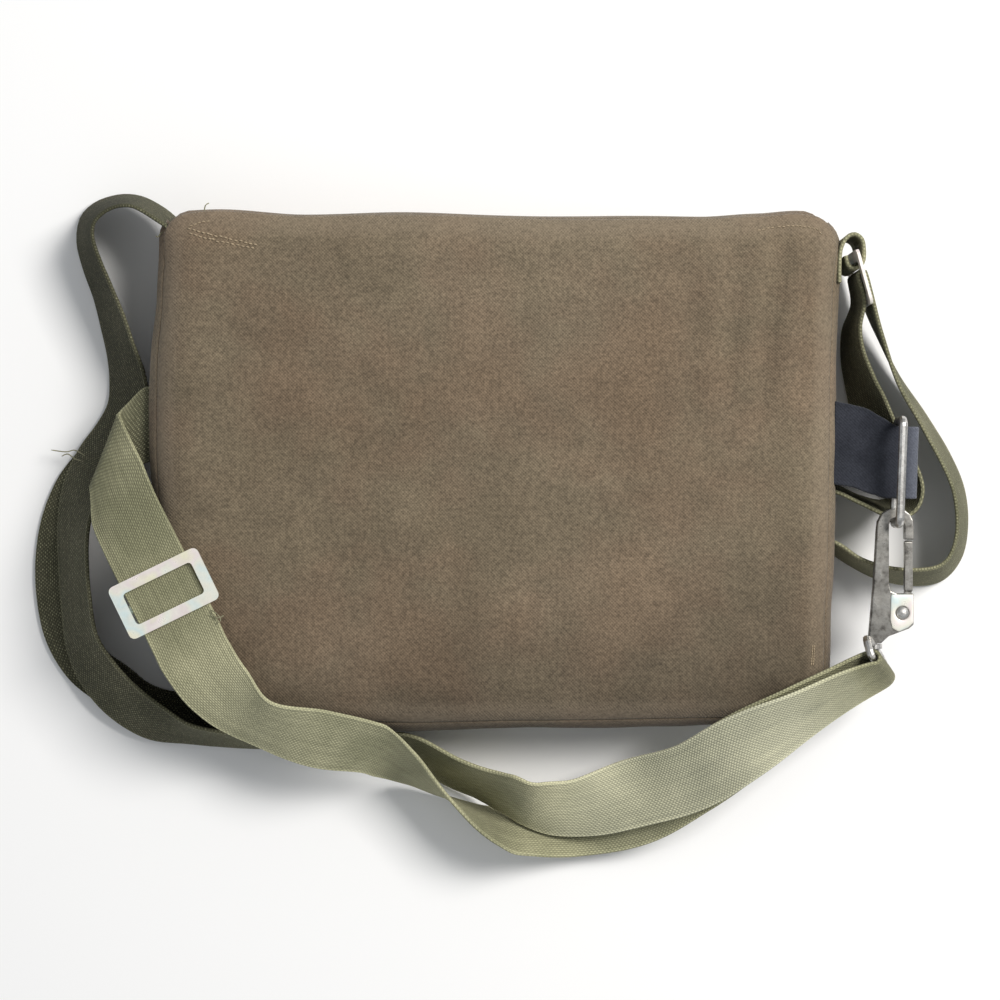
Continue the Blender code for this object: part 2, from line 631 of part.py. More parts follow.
def make_swivel_eye():
    """A wire loop with its bar low and its collar on the swivel pin."""
    half = EYE_BAR_DIRECTION * EYE_HALF
    toward = COLLAR_AT - EYE_BAR_AT
    side = [(0.9, 0.0), (0.98, 0.04), (1.0, 0.2), (0.99, 0.55), (0.9, 0.8), (0.5, 0.97)]
    points = [EYE_BAR_AT + toward * rise - half * out for out, rise in reversed(side)]
    points += [EYE_BAR_AT + toward * rise + half * out for out, rise in side]
    points = [COLLAR_AT - EYE_BAR_DIRECTION * 4.4] + points + [COLLAR_AT + EYE_BAR_DIRECTION * 4.4]
    eye = as_mesh(wire("swivel_eye", points, EYE_WIRE, STEEL, cyclic=False))
    collar = cylinder("eye_collar", COLLAR_AT, 4.4, 2.4, "Y", collection=CUTTERS)
    join_with(eye, hidden(collar), "UNION")
    hole = cylinder("eye_hole", COLLAR_AT, PIN_HOLE_R, 8.0, "Y", collection=CUTTERS)
    join_with(eye, hidden(hole), "DIFFERENCE")


def main():
    make_back_panel()
    make_gusset()
    make_front_panel()
    hinge = add_empty("flap_hinge", HINGE)
    make_flap(hinge)
    for side, spot in SNAPS.items():
        make_snap(side, spot, hinge)
    make_straps()
    make_slides()
    leg = Vector(RING_AT) - Vector((0, 0, 0.5 * RING_SPAN))
    make_ring(add_empty("ring_swing", leg))
    swivel = add_empty("hook_swivel", COLLAR_AT)
    pivot = add_empty("gate_pivot", (*GATE_PIVOT, HOOK_Z))
    make_hook(swivel, pivot)
    make_swivel_eye()


main()
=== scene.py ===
import math

import bmesh
import bpy
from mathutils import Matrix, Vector, noise
from mathutils.bvhtree import BVHTree


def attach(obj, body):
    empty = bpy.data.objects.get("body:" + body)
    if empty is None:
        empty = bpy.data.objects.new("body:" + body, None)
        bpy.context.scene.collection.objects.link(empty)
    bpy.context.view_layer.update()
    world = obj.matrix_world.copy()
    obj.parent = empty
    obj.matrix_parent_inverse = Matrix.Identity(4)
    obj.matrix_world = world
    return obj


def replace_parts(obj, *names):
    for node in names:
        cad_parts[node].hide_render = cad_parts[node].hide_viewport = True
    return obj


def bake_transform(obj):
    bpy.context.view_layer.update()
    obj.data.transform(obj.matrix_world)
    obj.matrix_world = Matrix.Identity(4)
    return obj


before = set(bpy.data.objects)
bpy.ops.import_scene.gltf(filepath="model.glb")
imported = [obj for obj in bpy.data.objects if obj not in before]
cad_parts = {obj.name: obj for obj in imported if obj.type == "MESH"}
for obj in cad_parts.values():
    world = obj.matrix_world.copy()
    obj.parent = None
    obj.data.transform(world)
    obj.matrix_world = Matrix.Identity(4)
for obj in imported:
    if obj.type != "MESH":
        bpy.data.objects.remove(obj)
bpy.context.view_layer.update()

# Messenger bag lying on its front. Lengths in the tables are millimetres in the shared frame.
MM = 0.001

# ------------------------ straps: the routes of part.py
# A station is x, y, z, and the bearing and slope of the webbing's width in degrees.
RETURN_ROUTE = [
    (-173, 130, 31, 55, -80), (-181, 136, 29, 65, -78), (-190, 141, 28, 78, -77),
    (-198, 142.5, 26, 95, -75), (-206, 141.5, 24, 112, -73), (-214, 138, 22, 130, -70),
    (-219.5, 132, 20, 150, -68), (-220.5, 122, 19.3, 172, -68), (-217, 109, 19.3, 188, -68),
    (-211, 94, 19.3, 193, -67), (-206, 79, 18.8, 194, -63), (-202, 64, 17.8, 192, -60),
    (-198.5, 49, 16.6, 188, -53), (-198, 34, 17, 176, -48), (-204, 19, 17.8, 160, -45),
    (-214.5, 4, 19, 155, -46), (-222.5, -12, 20.5, 166, -49), (-226, -30, 23, 178, -55),
    (-226, -50, 25, 186, -57), (-224.5, -72, 25.5, 190, -57), (-221.5, -92, 25.5, 196, -54),
    (-213.5, -109, 23.5, 208, -48), (-200.5, -124.5, 21.5, 221, -46),
    (-184, -136, 20.5, 236, -52), (-165, -142, 22.5, 252, -68), (-145, -145, 22.5, 262, -73),
    (-124, -146, 20, 268, -72), (-92, -147, 18.9, 268, -70), (-64, -148, 18.9, 262, -66),
    (-46, -151, 18.7, 250, -62), (-23, -163.5, 18.6, 237, -60), (-5.5, -169.8, 22.2, 245, -60),
    (7, -174, 31, 250, -54), (19, -179, 34, 258, -46), (42, -181.5, 26, 272, -30),
    (74, -173, 29, 283, -8), (102, -163.5, 42, 298, -7), (127, -147, 57, 300, -15),
    (155, -131, 61, 300, -40), (183, -115.5, 59, 304, -54),
]
FRONT_ROUTE = [
    (-180, 24, 38, 270, 0), (-190, 20.5, 37.6, 264, 0), (-199, 15, 37.6, 256, 0),
    (-205, 10.8, 38.2, 251, 0), (-206.9, 8.6, 40.4, 249, 0), (-205.6, 5.5, 43, 247, 0),
    (-203.6, -0.5, 45.6, 243, 0), (-199.7, -11, 50.5, 234, 0), (-193.5, -24.5, 57, 222, 0),
    (-184.5, -41, 63.6, 211, 0), (-172, -65.5, 65, 206, 0), (-160, -90, 65, 206, 0),
    (-155.5, -99, 64.8, 208, -2), (-144, -115, 64, 220, -16), (-124, -133, 56, 240, -44),
    (-92, -142.5, 51.5, 250, -30), (-64, -148.5, 44, 254, -42), (-46, -161, 28, 240, -62),
    (-29, -174.5, 22.6, 236, -80), (-9, -187, 22.4, 66, -78), (5, -191.5, 19.5, 72, -62),
    (20, -191.5, 13.9, 82, -38), (44, -191, 7.4, 92, -14), (75, -184, 17.5, 104, 4),
    (102, -166.5, 35.5, 118, 7), (126.5, -147.5, 52.5, 120, 15), (153.5, -129, 57, 120, 40),
    (181.5, -112, 55.5, 124, 54),
]
TAIL_ROUTE = [
    (-216, 4, 6.2, 158, -20), (-227, -11, 5.6, 168, -16), (-234.8, -30, 4.6, 178, -13),
    (-237.8, -50, 4.5, 184, -12), (-236.8, -72, 4.5, 188, -12), (-232.5, -90, 4.5, 197, -12),
    (-222.5, -106, 4.1, 210, -9), (-207.5, -118, 3.2, 226, -4), (-195, -128, 2.2, 243, 0),
    (-180, -133.4, 2.0, 260, 0), (-162, -134.6, 2.0, 267, 0), (-145, -134.6, 2.0, 270, 0),
]
SIDE_ROUTE = [
    (181.4, -43, 20, 250, -84), (192, -50, 20, 240, -84), (207, -56, 19.8, 255, -80),
    (224, -58.5, 19.7, 272, -76), (238, -56, 19.7, 300, -73), (246.5, -46, 19.6, 330, -72),
    (249.5, -31, 19.6, 350, -72), (247.5, -12, 19.6, 10, -72), (240.5, 5, 19.6, 22, -72),
    (229, 25, 20.5, 30, -74), (215, 47, 22.5, 30, -78), (204.8, 70, 26, 20, -84),
    (197.6, 88.9, 30.3, 15, -89), (194.4, 100, 30.5, 15, -89.5), (193.5, 102.6, 30.5, 15, -89.5),
    (191.3, 103.4, 30.5, 15, -89.5), (189.8, 101.4, 30.5, 15, -89.5),
    (190.2, 98.4, 30.5, 15, -89.5), (192.2, 87.2, 30.3, 190, -88), (189.5, 74, 26, 190, -84),
    (190.5, 60, 23, 200, -80), (195, 45, 20.3, 205, -74), (199.2, 34, 19, 208, -68),
    (206, 16, 18.3, 205, -64), (214.5, 0, 18.3, 195, -64), (218.5, -11, 18.3, 170, -66),
    (217, -19.5, 18.9, 130, -72), (208, -22, 19.2, 95, -77), (194, -17, 20, 75, -82),
    (181.6, -11, 20, 65, -82),
]
LOOP_ROUTE = [
    (180.1, 97), (180.1, 106), (180.8, 114.5), (183.8, 120.6), (188.2, 122.4), (191.9, 119.6),
    (192.9, 114.5), (192.7, 109), (191, 105.7), (187.6, 104.3), (184.7, 106.3), (183.5, 111),
]
LOOP_Z = 30.5
TAB_SECTION = [
    (180.3, 13, 44.5), (190, 10.5, 44.5), (200, 6.4, 44.5), (208, 3.2, 44.5), (215, 2.5, 44.5),
    (219.5, 2.4, 43.6), (221.3, 2.4, 41), (219.5, 2.4, 38.3), (215, 2.5, 37.4),
    (208, 3.2, 37.4), (200, 6.4, 37.4), (190, 10.5, 37.4), (180.3, 13, 37.4),
]
EYE_BAR_AT = Vector((200.5, -104.8, 52.5))
EYE_BAR_DIRECTION = Vector((0.332, -0.332, -0.883)).normalized()
WRAP_RADIUS = 3.5
WRAP_STATIONS = 6
WRAP_LEAVES = Vector((-0.86, -0.5, 0.1)).normalized()  # roughly how both runs leave the bar
RETURN_WIDTH, FRONT_WIDTH = (315, -62), (135, 62)
WEBBING, WEBBING_THICK = 38.0, 2.0
TAIL_WIDTH = 26.0
TAB_THICK = 1.8
TAB_SEWN_X, TAB_SEWN_DEPTH = 181.0, 3.0  # ends nearer than this go on into the bag by that much
TAB_FLARE = 0.14  # how much wider the tab is at the bag
LEAST_SLANT = 0.9  # limits the widening where a strap's width leans along its route
RIPPLE_LENGTH = 24.0
WEB_COLUMN, WEB_PICK = 1.1, 1.95  # the weave's step across and along the webbing
# the selvedge's paler band is a painted highlight
WEB_SELVEDGE = (16.9, 18.2)  # where the paler selvedge starts and is full, from the middle

# ------------------------ bag body
CORE = (-153.0, 153.0, -109.0, 107.0)  # the flat middle of the back: low x, high x, low y, high y
CELL = 4.0
CORNER_STEPS = 16
TOP_CORNER, BOTTOM_CORNER = 12.0, 22.0  # radii of the bag's corners
# Profiles: how far outside the core, and the height
BACK_PROFILE = [(3.0, 59.9), (6.5, 59.4), (10.0, 58.6), (13.5, 57.2), (16.6, 55.3), (19.0, 53.3),
                (20.8, 51.3), (21.4, 50.4), (20.9, 49.8)]
GUSSET_PROFILE = [(21.2, 50.0), (22.3, 49.4), (23.1, 48.2), (24.2, 45.5), (25.2, 42.0),
                  (25.9, 37.0), (26.2, 30.0), (26.1, 23.0), (25.7, 17.0), (25.0, 12.0),
                  (24.0, 8.6), (22.8, 6.8), (22.0, 6.2)]
FRONT_PROFILE = [(8.0, 5.0), (15.0, 5.1), (20.0, 5.4), (22.2, 6.0)]
BACK_Z, FRONT_Z = 60.0, 4.8
BACK_TOP_REACH = 0.17  # how much further the back's rim goes over the mouth
CANVAS = 1.5
CANVAS_PITCH = 0.85
SEAM_SHARE = 0.35  # the share of the side's movement that is left at its seams
# The outline's shift starts this far from the middle and is full at the sides, top and bottom
SHIFT_FROM, SIDE_AT, TOP_AT, BOTTOM_AT = 60, 179, 133, 135
# The strap pulls the lower left corner in: its place, how far round it that shows, and the pull
PULL_X, PULL_Y, PULL_SIZE, PULL = -176, -130, 22, 8.5
# How the real outline leaves the plain one: (place along the edge, shift)
TOP_EDGE = [(-179, 1.0), (-146, 2.4), (-102, -0.4), (-50, 0.4), (33, -2.0), (106, -1.6),
            (137, -0.2), (158, 1.2), (179, 0.5)]
BOTTOM_EDGE = [(-179, 0.0), (-46, 3.2), (20, 2.2), (107, 0.8), (179, 0.0)]
RIGHT_EDGE = [(-135, -3.6), (-90, -2.8), (-40, -0.8), (40, 0.2), (90, 1.6), (112, 3.2), (133, 0.0)]
LEFT_EDGE = [(-135, 0.0), (-40, 1.5), (10, 3.4), (50, 3.0), (90, 0.5), (118, -1.5), (133, -2.0)]

FLAP_HALF, WALL_HALF = 158.0, 171.0  # half widths under the bag and over the mouth
FLAP_SECTION = [(130.4, 49.6), (132.0, 46.5), (133.2, 41.5), (133.9, 34.0), (133.9, 24.0),
                (133.4, 14.0), (132.4, 6.4), (129.8, 1.9), (125.0, 0.85), (60.0, 0.85),
                (0.0, 0.85), (-60.0, 0.85), (-95.0, 0.85)]
FLAP_THICK = 1.7
FLAP_CELL = 4.0
FLAP_HEM = 0.35  # how much thicker the hems are
FLAP_END_TURN = 4.5  # how far the wall's two ends turn in
SNAP_X, SNAP_Y, SNAP_R = 90.0, -78.0, 7.6

# ------------------------ camera and light
CAMERA_AT = (0.0018, -0.0172, 1.36)
LENS = 90.0
FLOOR_SIZE, FLOOR_DROP = 9.0, 0.0004
SKY, SKY_STRENGTH = (0.94, 0.97, 1.0, 1.0), 0.40
# Name, place, size, power and colour. Both lamps point at the middle of the frame
LAMPS = [("key", (1.30, 0.80, 1.85), 0.9, 57.0, (1.0, 0.975, 0.94)),
         ("fill", (-1.4, -0.5, 1.6), 1.6, 2.0, (0.93, 0.96, 1.0))]


# ======================== small helpers
def lookup(table, value):
    """The second column at that value of the first, eased between entries."""
    if value <= table[0][0]:
        return table[0][1]
    for (a, p), (b, q) in zip(table, table[1:]):
        if value <= b:
            t = (value - a) / (b - a)
            t = t * t * (3 - 2 * t)
            return p + (q - p) * t
    return table[-1][1]


def step(value, low, high):
    """A smooth rise from 0 at low to 1 at high."""
    t = min(max((value - low) / (high - low), 0.0), 1.0)
    return t * t * (3 - 2 * t)


def waver(x, y, z, size):
    """Smooth noise of about -1 to 1 with features of that size, in millimetres."""
    return noise.noise(Vector((x, y, z)) / size)


def direction(bearing, tilt):
    """The unit vector with that bearing and slope in degrees."""
    b, t = math.radians(bearing), math.radians(tilt)
    return Vector((math.cos(t) * math.cos(b), math.cos(t) * math.sin(b), math.sin(t)))


def smooth(points, i, t):
    """A point on the smooth curve through the list, between entries i and i + 1."""
    a, b = points[max(i - 1, 0)], points[i]
    c, d = points[i + 1], points[min(i + 2, len(points) - 1)]
    return 0.5 * (2 * b + (c - a) * t + (2 * a - 5 * b + 4 * c - d) * t * t
                  + (3 * b - a - 3 * c + d) * t ** 3)


def mesh_piece(name, shape, material, body="root", ride=True):
    """A smooth-shaded object of that material. It moves with the body, unless ride is off."""
    data = bpy.data.meshes.new(name)
    shape.to_mesh(data)
    shape.free()
    data.polygons.foreach_set("use_smooth", [True] * len(data.polygons))
    piece = bpy.data.objects.new(name, data)
    bpy.context.scene.collection.objects.link(piece)
    data.materials.append(material)
    if ride:
        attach(piece, body)
    return piece


def apply_modifiers(piece):
    """Bakes a piece's modifiers into its mesh."""
    graph = bpy.context.evaluated_depsgraph_get()
    baked = bpy.data.meshes.new_from_object(piece.evaluated_get(graph))
    piece.modifiers.clear()
    piece.data = baked
    return piece


# ======================== materials
class Graph:
    """A node material made by short calls."""

    def __init__(self, name):
        self.material = bpy.data.materials.new(name)
        self.material.use_nodes = True
        self.tree = self.material.node_tree
        self.shader = self.tree.nodes["Principled BSDF"]

    def node(self, kind, **settings):
        made = self.tree.nodes.new(kind)
        for key, value in settings.items():
            setattr(made, key, value)
        return made

    def put(self, socket, value):
        if isinstance(value, bpy.types.NodeSocket):
            self.tree.links.new(value, socket)
        elif value is not None:
            socket.default_value = value

    def math(self, operation, a, b=None, c=None, clamp=False):
        made = self.node("ShaderNodeMath", operation=operation, use_clamp=clamp)
        for socket, value in zip(made.inputs, (a, b, c)):
            self.put(socket, value)
        return made.outputs[0]

    def vector(self, operation, a, b):
        made = self.node("ShaderNodeVectorMath", operation=operation)
        self.put(made.inputs[0], a)
        self.put(made.inputs[1], b)
        return made.outputs[0]

    def noise(self, place, scale, detail=2.0, rough=0.5):
        made = self.node("ShaderNodeTexNoise")
        self.put(made.inputs["Vector"], place)
        self.put(made.inputs["Scale"], scale)
        self.put(made.inputs["Detail"], detail)
        self.put(made.inputs["Roughness"], rough)
        return made.outputs["Fac"]

    def remap(self, value, low, high, to_low=0.0, to_high=1.0):
        made = self.node("ShaderNodeMapRange")
        for socket, item in zip(made.inputs, (value, low, high, to_low, to_high)):
            self.put(socket, item)
        return made.outputs[0]

    def mix(self, share, a, b, blend="MIX"):
        made = self.node("ShaderNodeMix", data_type="RGBA", blend_type=blend)
        self.put(made.inputs[0], share)
        self.put(made.inputs[6], a)
        self.put(made.inputs[7], b)
        return made.outputs[2]

    def times(self, colour, factor):
        """A colour made lighter or darker by a number."""
        grey = self.node("ShaderNodeCombineColor")
        for socket in grey.inputs:
            self.put(socket, factor)
        return self.mix(1.0, colour, grey.outputs[0], "MULTIPLY")

    def split(self, place):
        made = self.node("ShaderNodeSeparateXYZ")
        self.put(made.inputs[0], place)
        return made.outputs

    def bump(self, height, distance, strength=1.0, under=None):
        made = self.node("ShaderNodeBump")
        self.put(made.inputs["Height"], height)
        self.put(made.inputs["Distance"], distance)
        self.put(made.inputs["Strength"], strength)
        if under is not None:
            self.put(made.inputs["Normal"], under)
        return made.outputs[0]

    def finish(self, colour, roughness, normal=None, **constants):
        self.put(self.shader.inputs["Base Color"], colour)
        self.put(self.shader.inputs["Roughness"], roughness)
        if normal is not None:
            self.put(self.shader.inputs["Normal"], normal)
        for name, value in constants.items():
            self.shader.inputs[name.replace("_", " ")].default_value = value
        return self.material


def rgb(red, green, blue):
    return (red, green, blue, 1.0)


def cloth_weave(g, place, pitch):
    """Over-and-under bumps of a plain weave, on whichever of the three planes the face lies."""
    k = math.pi / (pitch * MM)
    waves = [g.math("SINE", g.math("MULTIPLY", axis, k)) for axis in g.split(place)]
    geometry = g.node("ShaderNodeNewGeometry")
    normal = g.node("ShaderNodeVectorTransform", vector_type="NORMAL", convert_from="WORLD",
                    convert_to="OBJECT")
    g.put(normal.inputs[0], geometry.outputs["Normal"])
    facing = [g.math("ABSOLUTE", axis) for axis in g.split(normal.outputs[0])]
    total = None
    for across, (a, b) in zip(facing, ((1, 2), (0, 2), (0, 1))):
        part = g.math("MULTIPLY", g.math("MULTIPLY", waves[a], waves[b]), across)
        total = part if total is None else g.math("ADD", total, part)
    return total


def make_canvas(name, light, dark):
    """Washed cotton canvas: weave, slubs, broad fading, pale worn edges, and painted shade toward
    the bottom edge.
    """
    g = Graph(name)
    place = g.node("ShaderNodeTexCoord").outputs["Object"]
    weave = cloth_weave(g, place, CANVAS_PITCH)
    broad = g.noise(place, 9.0, 3.0, 0.55)
    cloud = g.noise(place, 45.0, 4.0, 0.65)
    speck = g.noise(place, 560.0, 3.0, 0.75)
    warp = g.noise(g.vector("MULTIPLY", place, (900.0, 60.0, 900.0)), 1.0, 2.0, 0.6)
    weft = g.noise(g.vector("MULTIPLY", place, (60.0, 900.0, 900.0)), 1.0, 2.0, 0.6)
    colour = g.mix(g.remap(broad, 0.35, 0.66), dark, light)
    red = rgb(light[0] * 1.12, light[1] * 0.94, light[2] * 0.86)
    green = rgb(light[0] * 0.90, light[1] * 1.05, light[2] * 0.98)
    hue = g.noise(g.vector("ADD", place, (3.1, 7.7, 1.3)), 14.0, 3.0, 0.6)
    colour = g.mix(g.remap(hue, 0.42, 0.62, 0.0, 0.22), colour, green)
    colour = g.mix(g.remap(hue, 0.56, 0.34, 0.0, 0.24), colour, red)
    colour = g.times(colour, g.remap(cloud, 0.3, 0.7, 0.89, 1.11))
    colour = g.times(colour, g.remap(speck, 0.3, 0.72, 0.64, 1.40))
    colour = g.times(colour, g.remap(g.math("ADD", warp, weft), 0.7, 1.3, 0.93, 1.07))
    colour = g.times(colour, g.remap(weave, -1.0, 1.0, 0.84, 1.16))
    # painted shade: darker toward the bottom edge, and a little more toward the right
    east, north, _ = g.split(place)
    painted_shade_shift = g.math("ADD", g.math("MULTIPLY", broad, 0.06), g.remap(east, 0.02, 0.16, 0.0, -0.05))
    colour = g.times(colour, g.remap(g.math("ADD", north, painted_shade_shift), -0.155, -0.035, 0.30, 0.91))
    wear = g.node("ShaderNodeAttribute", attribute_name="wear").outputs["Fac"]
    pale = rgb(light[0] * 1.22, light[1] * 1.26, light[2] * 1.30)
    colour = g.mix(g.math("MULTIPLY", wear, g.remap(speck, 0.3, 0.7, 0.2, 0.5)), colour, pale)
    height = g.math("ADD", g.math("MULTIPLY", weave, 0.5), g.math("MULTIPLY", speck, 0.9))
    height = g.math("ADD", height, g.math("MULTIPLY", g.math("ADD", warp, weft), 0.45))
    normal = g.bump(height, 0.00022, 0.8)
    return g.finish(colour, g.remap(cloud, 0.3, 0.7, 0.86, 0.96), normal,
                    Specular_IOR_Level=0.18, Sheen_Weight=0.12, Sheen_Roughness=0.5)


def make_webbing(name, light, dark):
    """Cotton webbing with painted light and shade from each strap's tone. The map's first number
    runs across the width, the second along it.
    """
    g = Graph(name)
    place = g.node("ShaderNodeUVMap", uv_map="weave").outputs[0]
    across, along, _ = g.split(place)
    solid = g.node("ShaderNodeTexCoord").outputs["Object"]
    lane = g.math("DIVIDE", across, WEB_COLUMN * MM)
    odd = g.math("MODULO", g.math("FLOOR", g.math("ADD", lane, 64.0)), 2.0)
    jitter = g.math("MULTIPLY", g.noise(solid, 320.0, 2.0), 1.4)
    phase = g.math("ADD", g.math("MULTIPLY", along, 2 * math.pi / (WEB_PICK * MM)),
                   g.math("MULTIPLY", odd, math.pi))
    wave = g.math("SINE", g.math("ADD", phase, jitter))
    ridge = g.math("ABSOLUTE", g.math("SINE", g.math("MULTIPLY", lane, math.pi)))
    bulge = g.math("MULTIPLY", g.math("POWER", ridge, 0.6), g.remap(wave, -1.0, 1.0, 0.25, 1.0))
    fibre = g.noise(g.vector("MULTIPLY", place, (2600.0, 500.0, 1.0)), 1.0, 3.0, 0.65)
    yarn = g.noise(g.vector("MULTIPLY", place, (530.0, 26.0, 1.0)), 1.0, 2.0, 0.5)
    broad = g.noise(solid, 22.0, 3.0, 0.6)
    colour = g.mix(g.remap(broad, 0.35, 0.65), dark, light)
    colour = g.times(colour, g.remap(yarn, 0.3, 0.7, 0.88, 1.10))
    colour = g.times(colour, g.remap(bulge, 0.1, 0.95, 0.64, 1.12))
    colour = g.times(colour, g.remap(fibre, 0.3, 0.7, 0.80, 1.20))
    # tone over 1 is painted light, paler and greyer, and under 1 is painted shade; in the painted
    # shade, lighter flecks on the weave's crowns keep the weave showing, and the selvedges get a
    # painted highlight, stronger in the painted shade
    tone = g.node("ShaderNodeAttribute", attribute_name="tone").outputs["Fac"]
    colour = g.mix(g.remap(tone, 1.05, 1.6, 0.0, 0.35), colour, rgb(0.44, 0.44, 0.385))
    painted_shade = g.remap(tone, 0.2, 0.9, 1.0, 0.0)
    fleck = g.noise(solid, 700.0, 2.0, 0.6)
    crown = g.math("MULTIPLY", g.remap(bulge, 0.45, 0.9), g.remap(fleck, 0.42, 0.66, 0.2, 2.1))
    edge = g.math("ABSOLUTE", across)
    selvedge = g.remap(edge, WEB_SELVEDGE[0] * MM, WEB_SELVEDGE[1] * MM, 0.0, 0.35)
    crown = g.math("ADD", g.math("MULTIPLY", crown, painted_shade),
                   g.math("MULTIPLY", selvedge, g.math("ADD", painted_shade, 0.7)))
    colour = g.times(colour, g.math("MULTIPLY", tone, g.math("ADD", crown, g.remap(
        painted_shade, 0.0, 1.0, 1.0, 0.72))))
    height = g.math("ADD", bulge, g.math("MULTIPLY", fibre, 0.35))
    normal = g.bump(height, 0.0005, 0.9)
    return g.finish(colour, 0.9, normal, Specular_IOR_Level=0.15, Sheen_Weight=0.04,
                    Sheen_Roughness=0.45)


def make_felt(name, light, dark):
    """Dark felted twill, paler where it is worn."""
    g = Graph(name)
    solid = g.node("ShaderNodeTexCoord").outputs["Object"]
    fuzz = g.noise(solid, 900.0, 4.0, 0.75)
    broad = g.noise(solid, 60.0, 3.0, 0.6)
    wear = g.node("ShaderNodeAttribute", attribute_name="wear").outputs["Fac"]
    colour = g.mix(g.remap(broad, 0.35, 0.68), dark, light)
    colour = g.mix(g.math("MULTIPLY", wear, 0.8), colour, rgb(0.12, 0.13, 0.16))
    colour = g.times(colour, g.remap(fuzz, 0.3, 0.7, 0.72, 1.3))
    twill = g.math("SINE", g.math("MULTIPLY", g.math("ADD", *g.split(solid)[:2]), 3600.0))
    height = g.math("ADD", fuzz, g.math("MULTIPLY", twill, 0.25))
    return g.finish(colour, 0.93, g.bump(height, 0.0004, 0.7), Specular_IOR_Level=0.15,
                    Sheen_Weight=0.3, Sheen_Roughness=0.4)


def make_zinc(name):
    """Pale zinc plate with a faint rainbow film."""
    g = Graph(name)
    solid = g.node("ShaderNodeTexCoord").outputs["Object"]
    film = g.noise(solid, 60.0, 2.0, 0.5)
    ramp = g.node("ShaderNodeValToRGB")
    g.put(ramp.inputs[0], g.remap(film, 0.3, 0.7))
    stops = [(0.0, (0.93, 0.90, 0.70)), (0.28, (0.93, 0.84, 0.82)), (0.5, (0.92, 0.91, 0.80)),
             (0.75, (0.76, 0.89, 0.88)), (1.0, (0.94, 0.90, 0.72))]
    ramp.color_ramp.elements[0].color = rgb(*stops[0][1])
    ramp.color_ramp.elements[1].color = rgb(*stops[-1][1])
    for at, colour in stops[1:-1]:
        ramp.color_ramp.elements.new(at).color = rgb(*colour)
    scratch = g.noise(g.vector("MULTIPLY", solid, (2500.0, 160.0, 2500.0)), 1.0, 3.0, 0.7)
    grime = g.noise(solid, 180.0, 4.0, 0.7)
    colour = g.times(ramp.outputs[0], g.remap(grime, 0.3, 0.75, 1.0, 0.82))
    return g.finish(colour, g.remap(grime, 0.3, 0.7, 0.24, 0.42), g.bump(scratch, 0.00008, 0.5),
                    Metallic=0.3)


def make_steel(name, light, dark):
    """Plated steel: grey grime over bright worn patches."""
    g = Graph(name)
    solid = g.node("ShaderNodeTexCoord").outputs["Object"]
    grime = g.noise(solid, 240.0, 5.0, 0.7)
    patch = g.noise(solid, 90.0, 3.0, 0.6)
    pit = g.noise(solid, 1400.0, 3.0, 0.6)
    colour = g.mix(g.remap(g.math("ADD", grime, g.math("MULTIPLY", patch, 0.6)), 0.6, 0.98),
                   dark, light)
    rough = g.remap(grime, 0.3, 0.7, 0.46, 0.24)
    return g.finish(colour, rough, g.bump(g.math("ADD", grime, g.math("MULTIPLY", pit, 0.4)),
                                          0.00012, 0.6), Metallic=1.0)


def make_thread(name, colour):
    """Twisted sewing thread."""
    g = Graph(name)
    solid = g.node("ShaderNodeTexCoord").outputs["Object"]
    twist = g.noise(solid, 2600.0, 2.0, 0.6)
    tone = g.noise(solid, 120.0, 2.0, 0.5)
    shade = g.times(g.times(colour, g.remap(twist, 0.3, 0.7, 0.75, 1.25)),
                    g.remap(tone, 0.35, 0.65, 0.82, 1.12))
    return g.finish(shade, 0.8, g.bump(twist, 0.0001, 0.6), Specular_IOR_Level=0.25)


def make_floor_material():
    g = Graph("pale_floor")
    solid = g.node("ShaderNodeTexCoord").outputs["Object"]
    tone = g.noise(solid, 1.5, 2.0)
    return g.finish(g.mix(tone, rgb(0.93, 0.93, 0.93), rgb(0.95, 0.95, 0.95)), 0.9,
                    Specular_IOR_Level=0.1)


BROWN = make_canvas("brown_canvas_cloth", rgb(0.205, 0.158, 0.108), rgb(0.158, 0.119, 0.079))
OLIVE = make_webbing("olive_webbing_cloth", rgb(0.455, 0.440, 0.280), rgb(0.300, 0.296, 0.180))
NAVY = make_felt("navy_felt_cloth", rgb(0.034, 0.037, 0.047), rgb(0.020, 0.022, 0.029))
ZINC = make_zinc("zinc_plate")
STEEL = make_steel("worn_plated_steel", rgb(0.47, 0.455, 0.42), rgb(0.07, 0.066, 0.06))
BRIGHT_STEEL = make_steel("bright_plated_steel", rgb(0.80, 0.79, 0.76), rgb(0.26, 0.25, 0.235))
TAN_THREAD = make_thread("tan_thread", rgb(0.36, 0.285, 0.19))
OLIVE_THREAD = make_thread("olive_thread", rgb(0.26, 0.25, 0.16))


# ======================== straps
def ribbon_frames(route, gap):
    """Even samples of a route: points on the centre line, and unit vectors along the width."""
    centres = [Vector(row[:3]) for row in route]
    widths = [direction(row[3], row[4]) for row in route]
    points, across = [], []
    for i in range(len(route) - 1):
        count = max(1, round((centres[i + 1] - centres[i]).length / gap))
        for k in range(count):
            points.append(smooth(centres, i, k / count))
            across.append(smooth(widths, i, k / count).normalized())
    points.append(centres[-1])
    across.append(widths[-1])
    return points, across


# Half the section of the webbing: share of the half width, share of the half thickness
WEB_SECTION = [(-1.0, 0.0), (-0.992, 0.62), (-0.972, 1.0), (-0.945, 1.06), (-0.918, 1.0),
               (-0.895, 0.90), (-0.85, 0.98), (-0.6, 1.0), (-0.3, 1.0), (0.0, 1.0), (0.3, 1.0),
               (0.6, 1.0), (0.85, 0.98), (0.895, 0.90), (0.918, 1.0), (0.945, 1.06),
               (0.972, 1.0), (0.992, 0.62), (1.0, 0.0)]


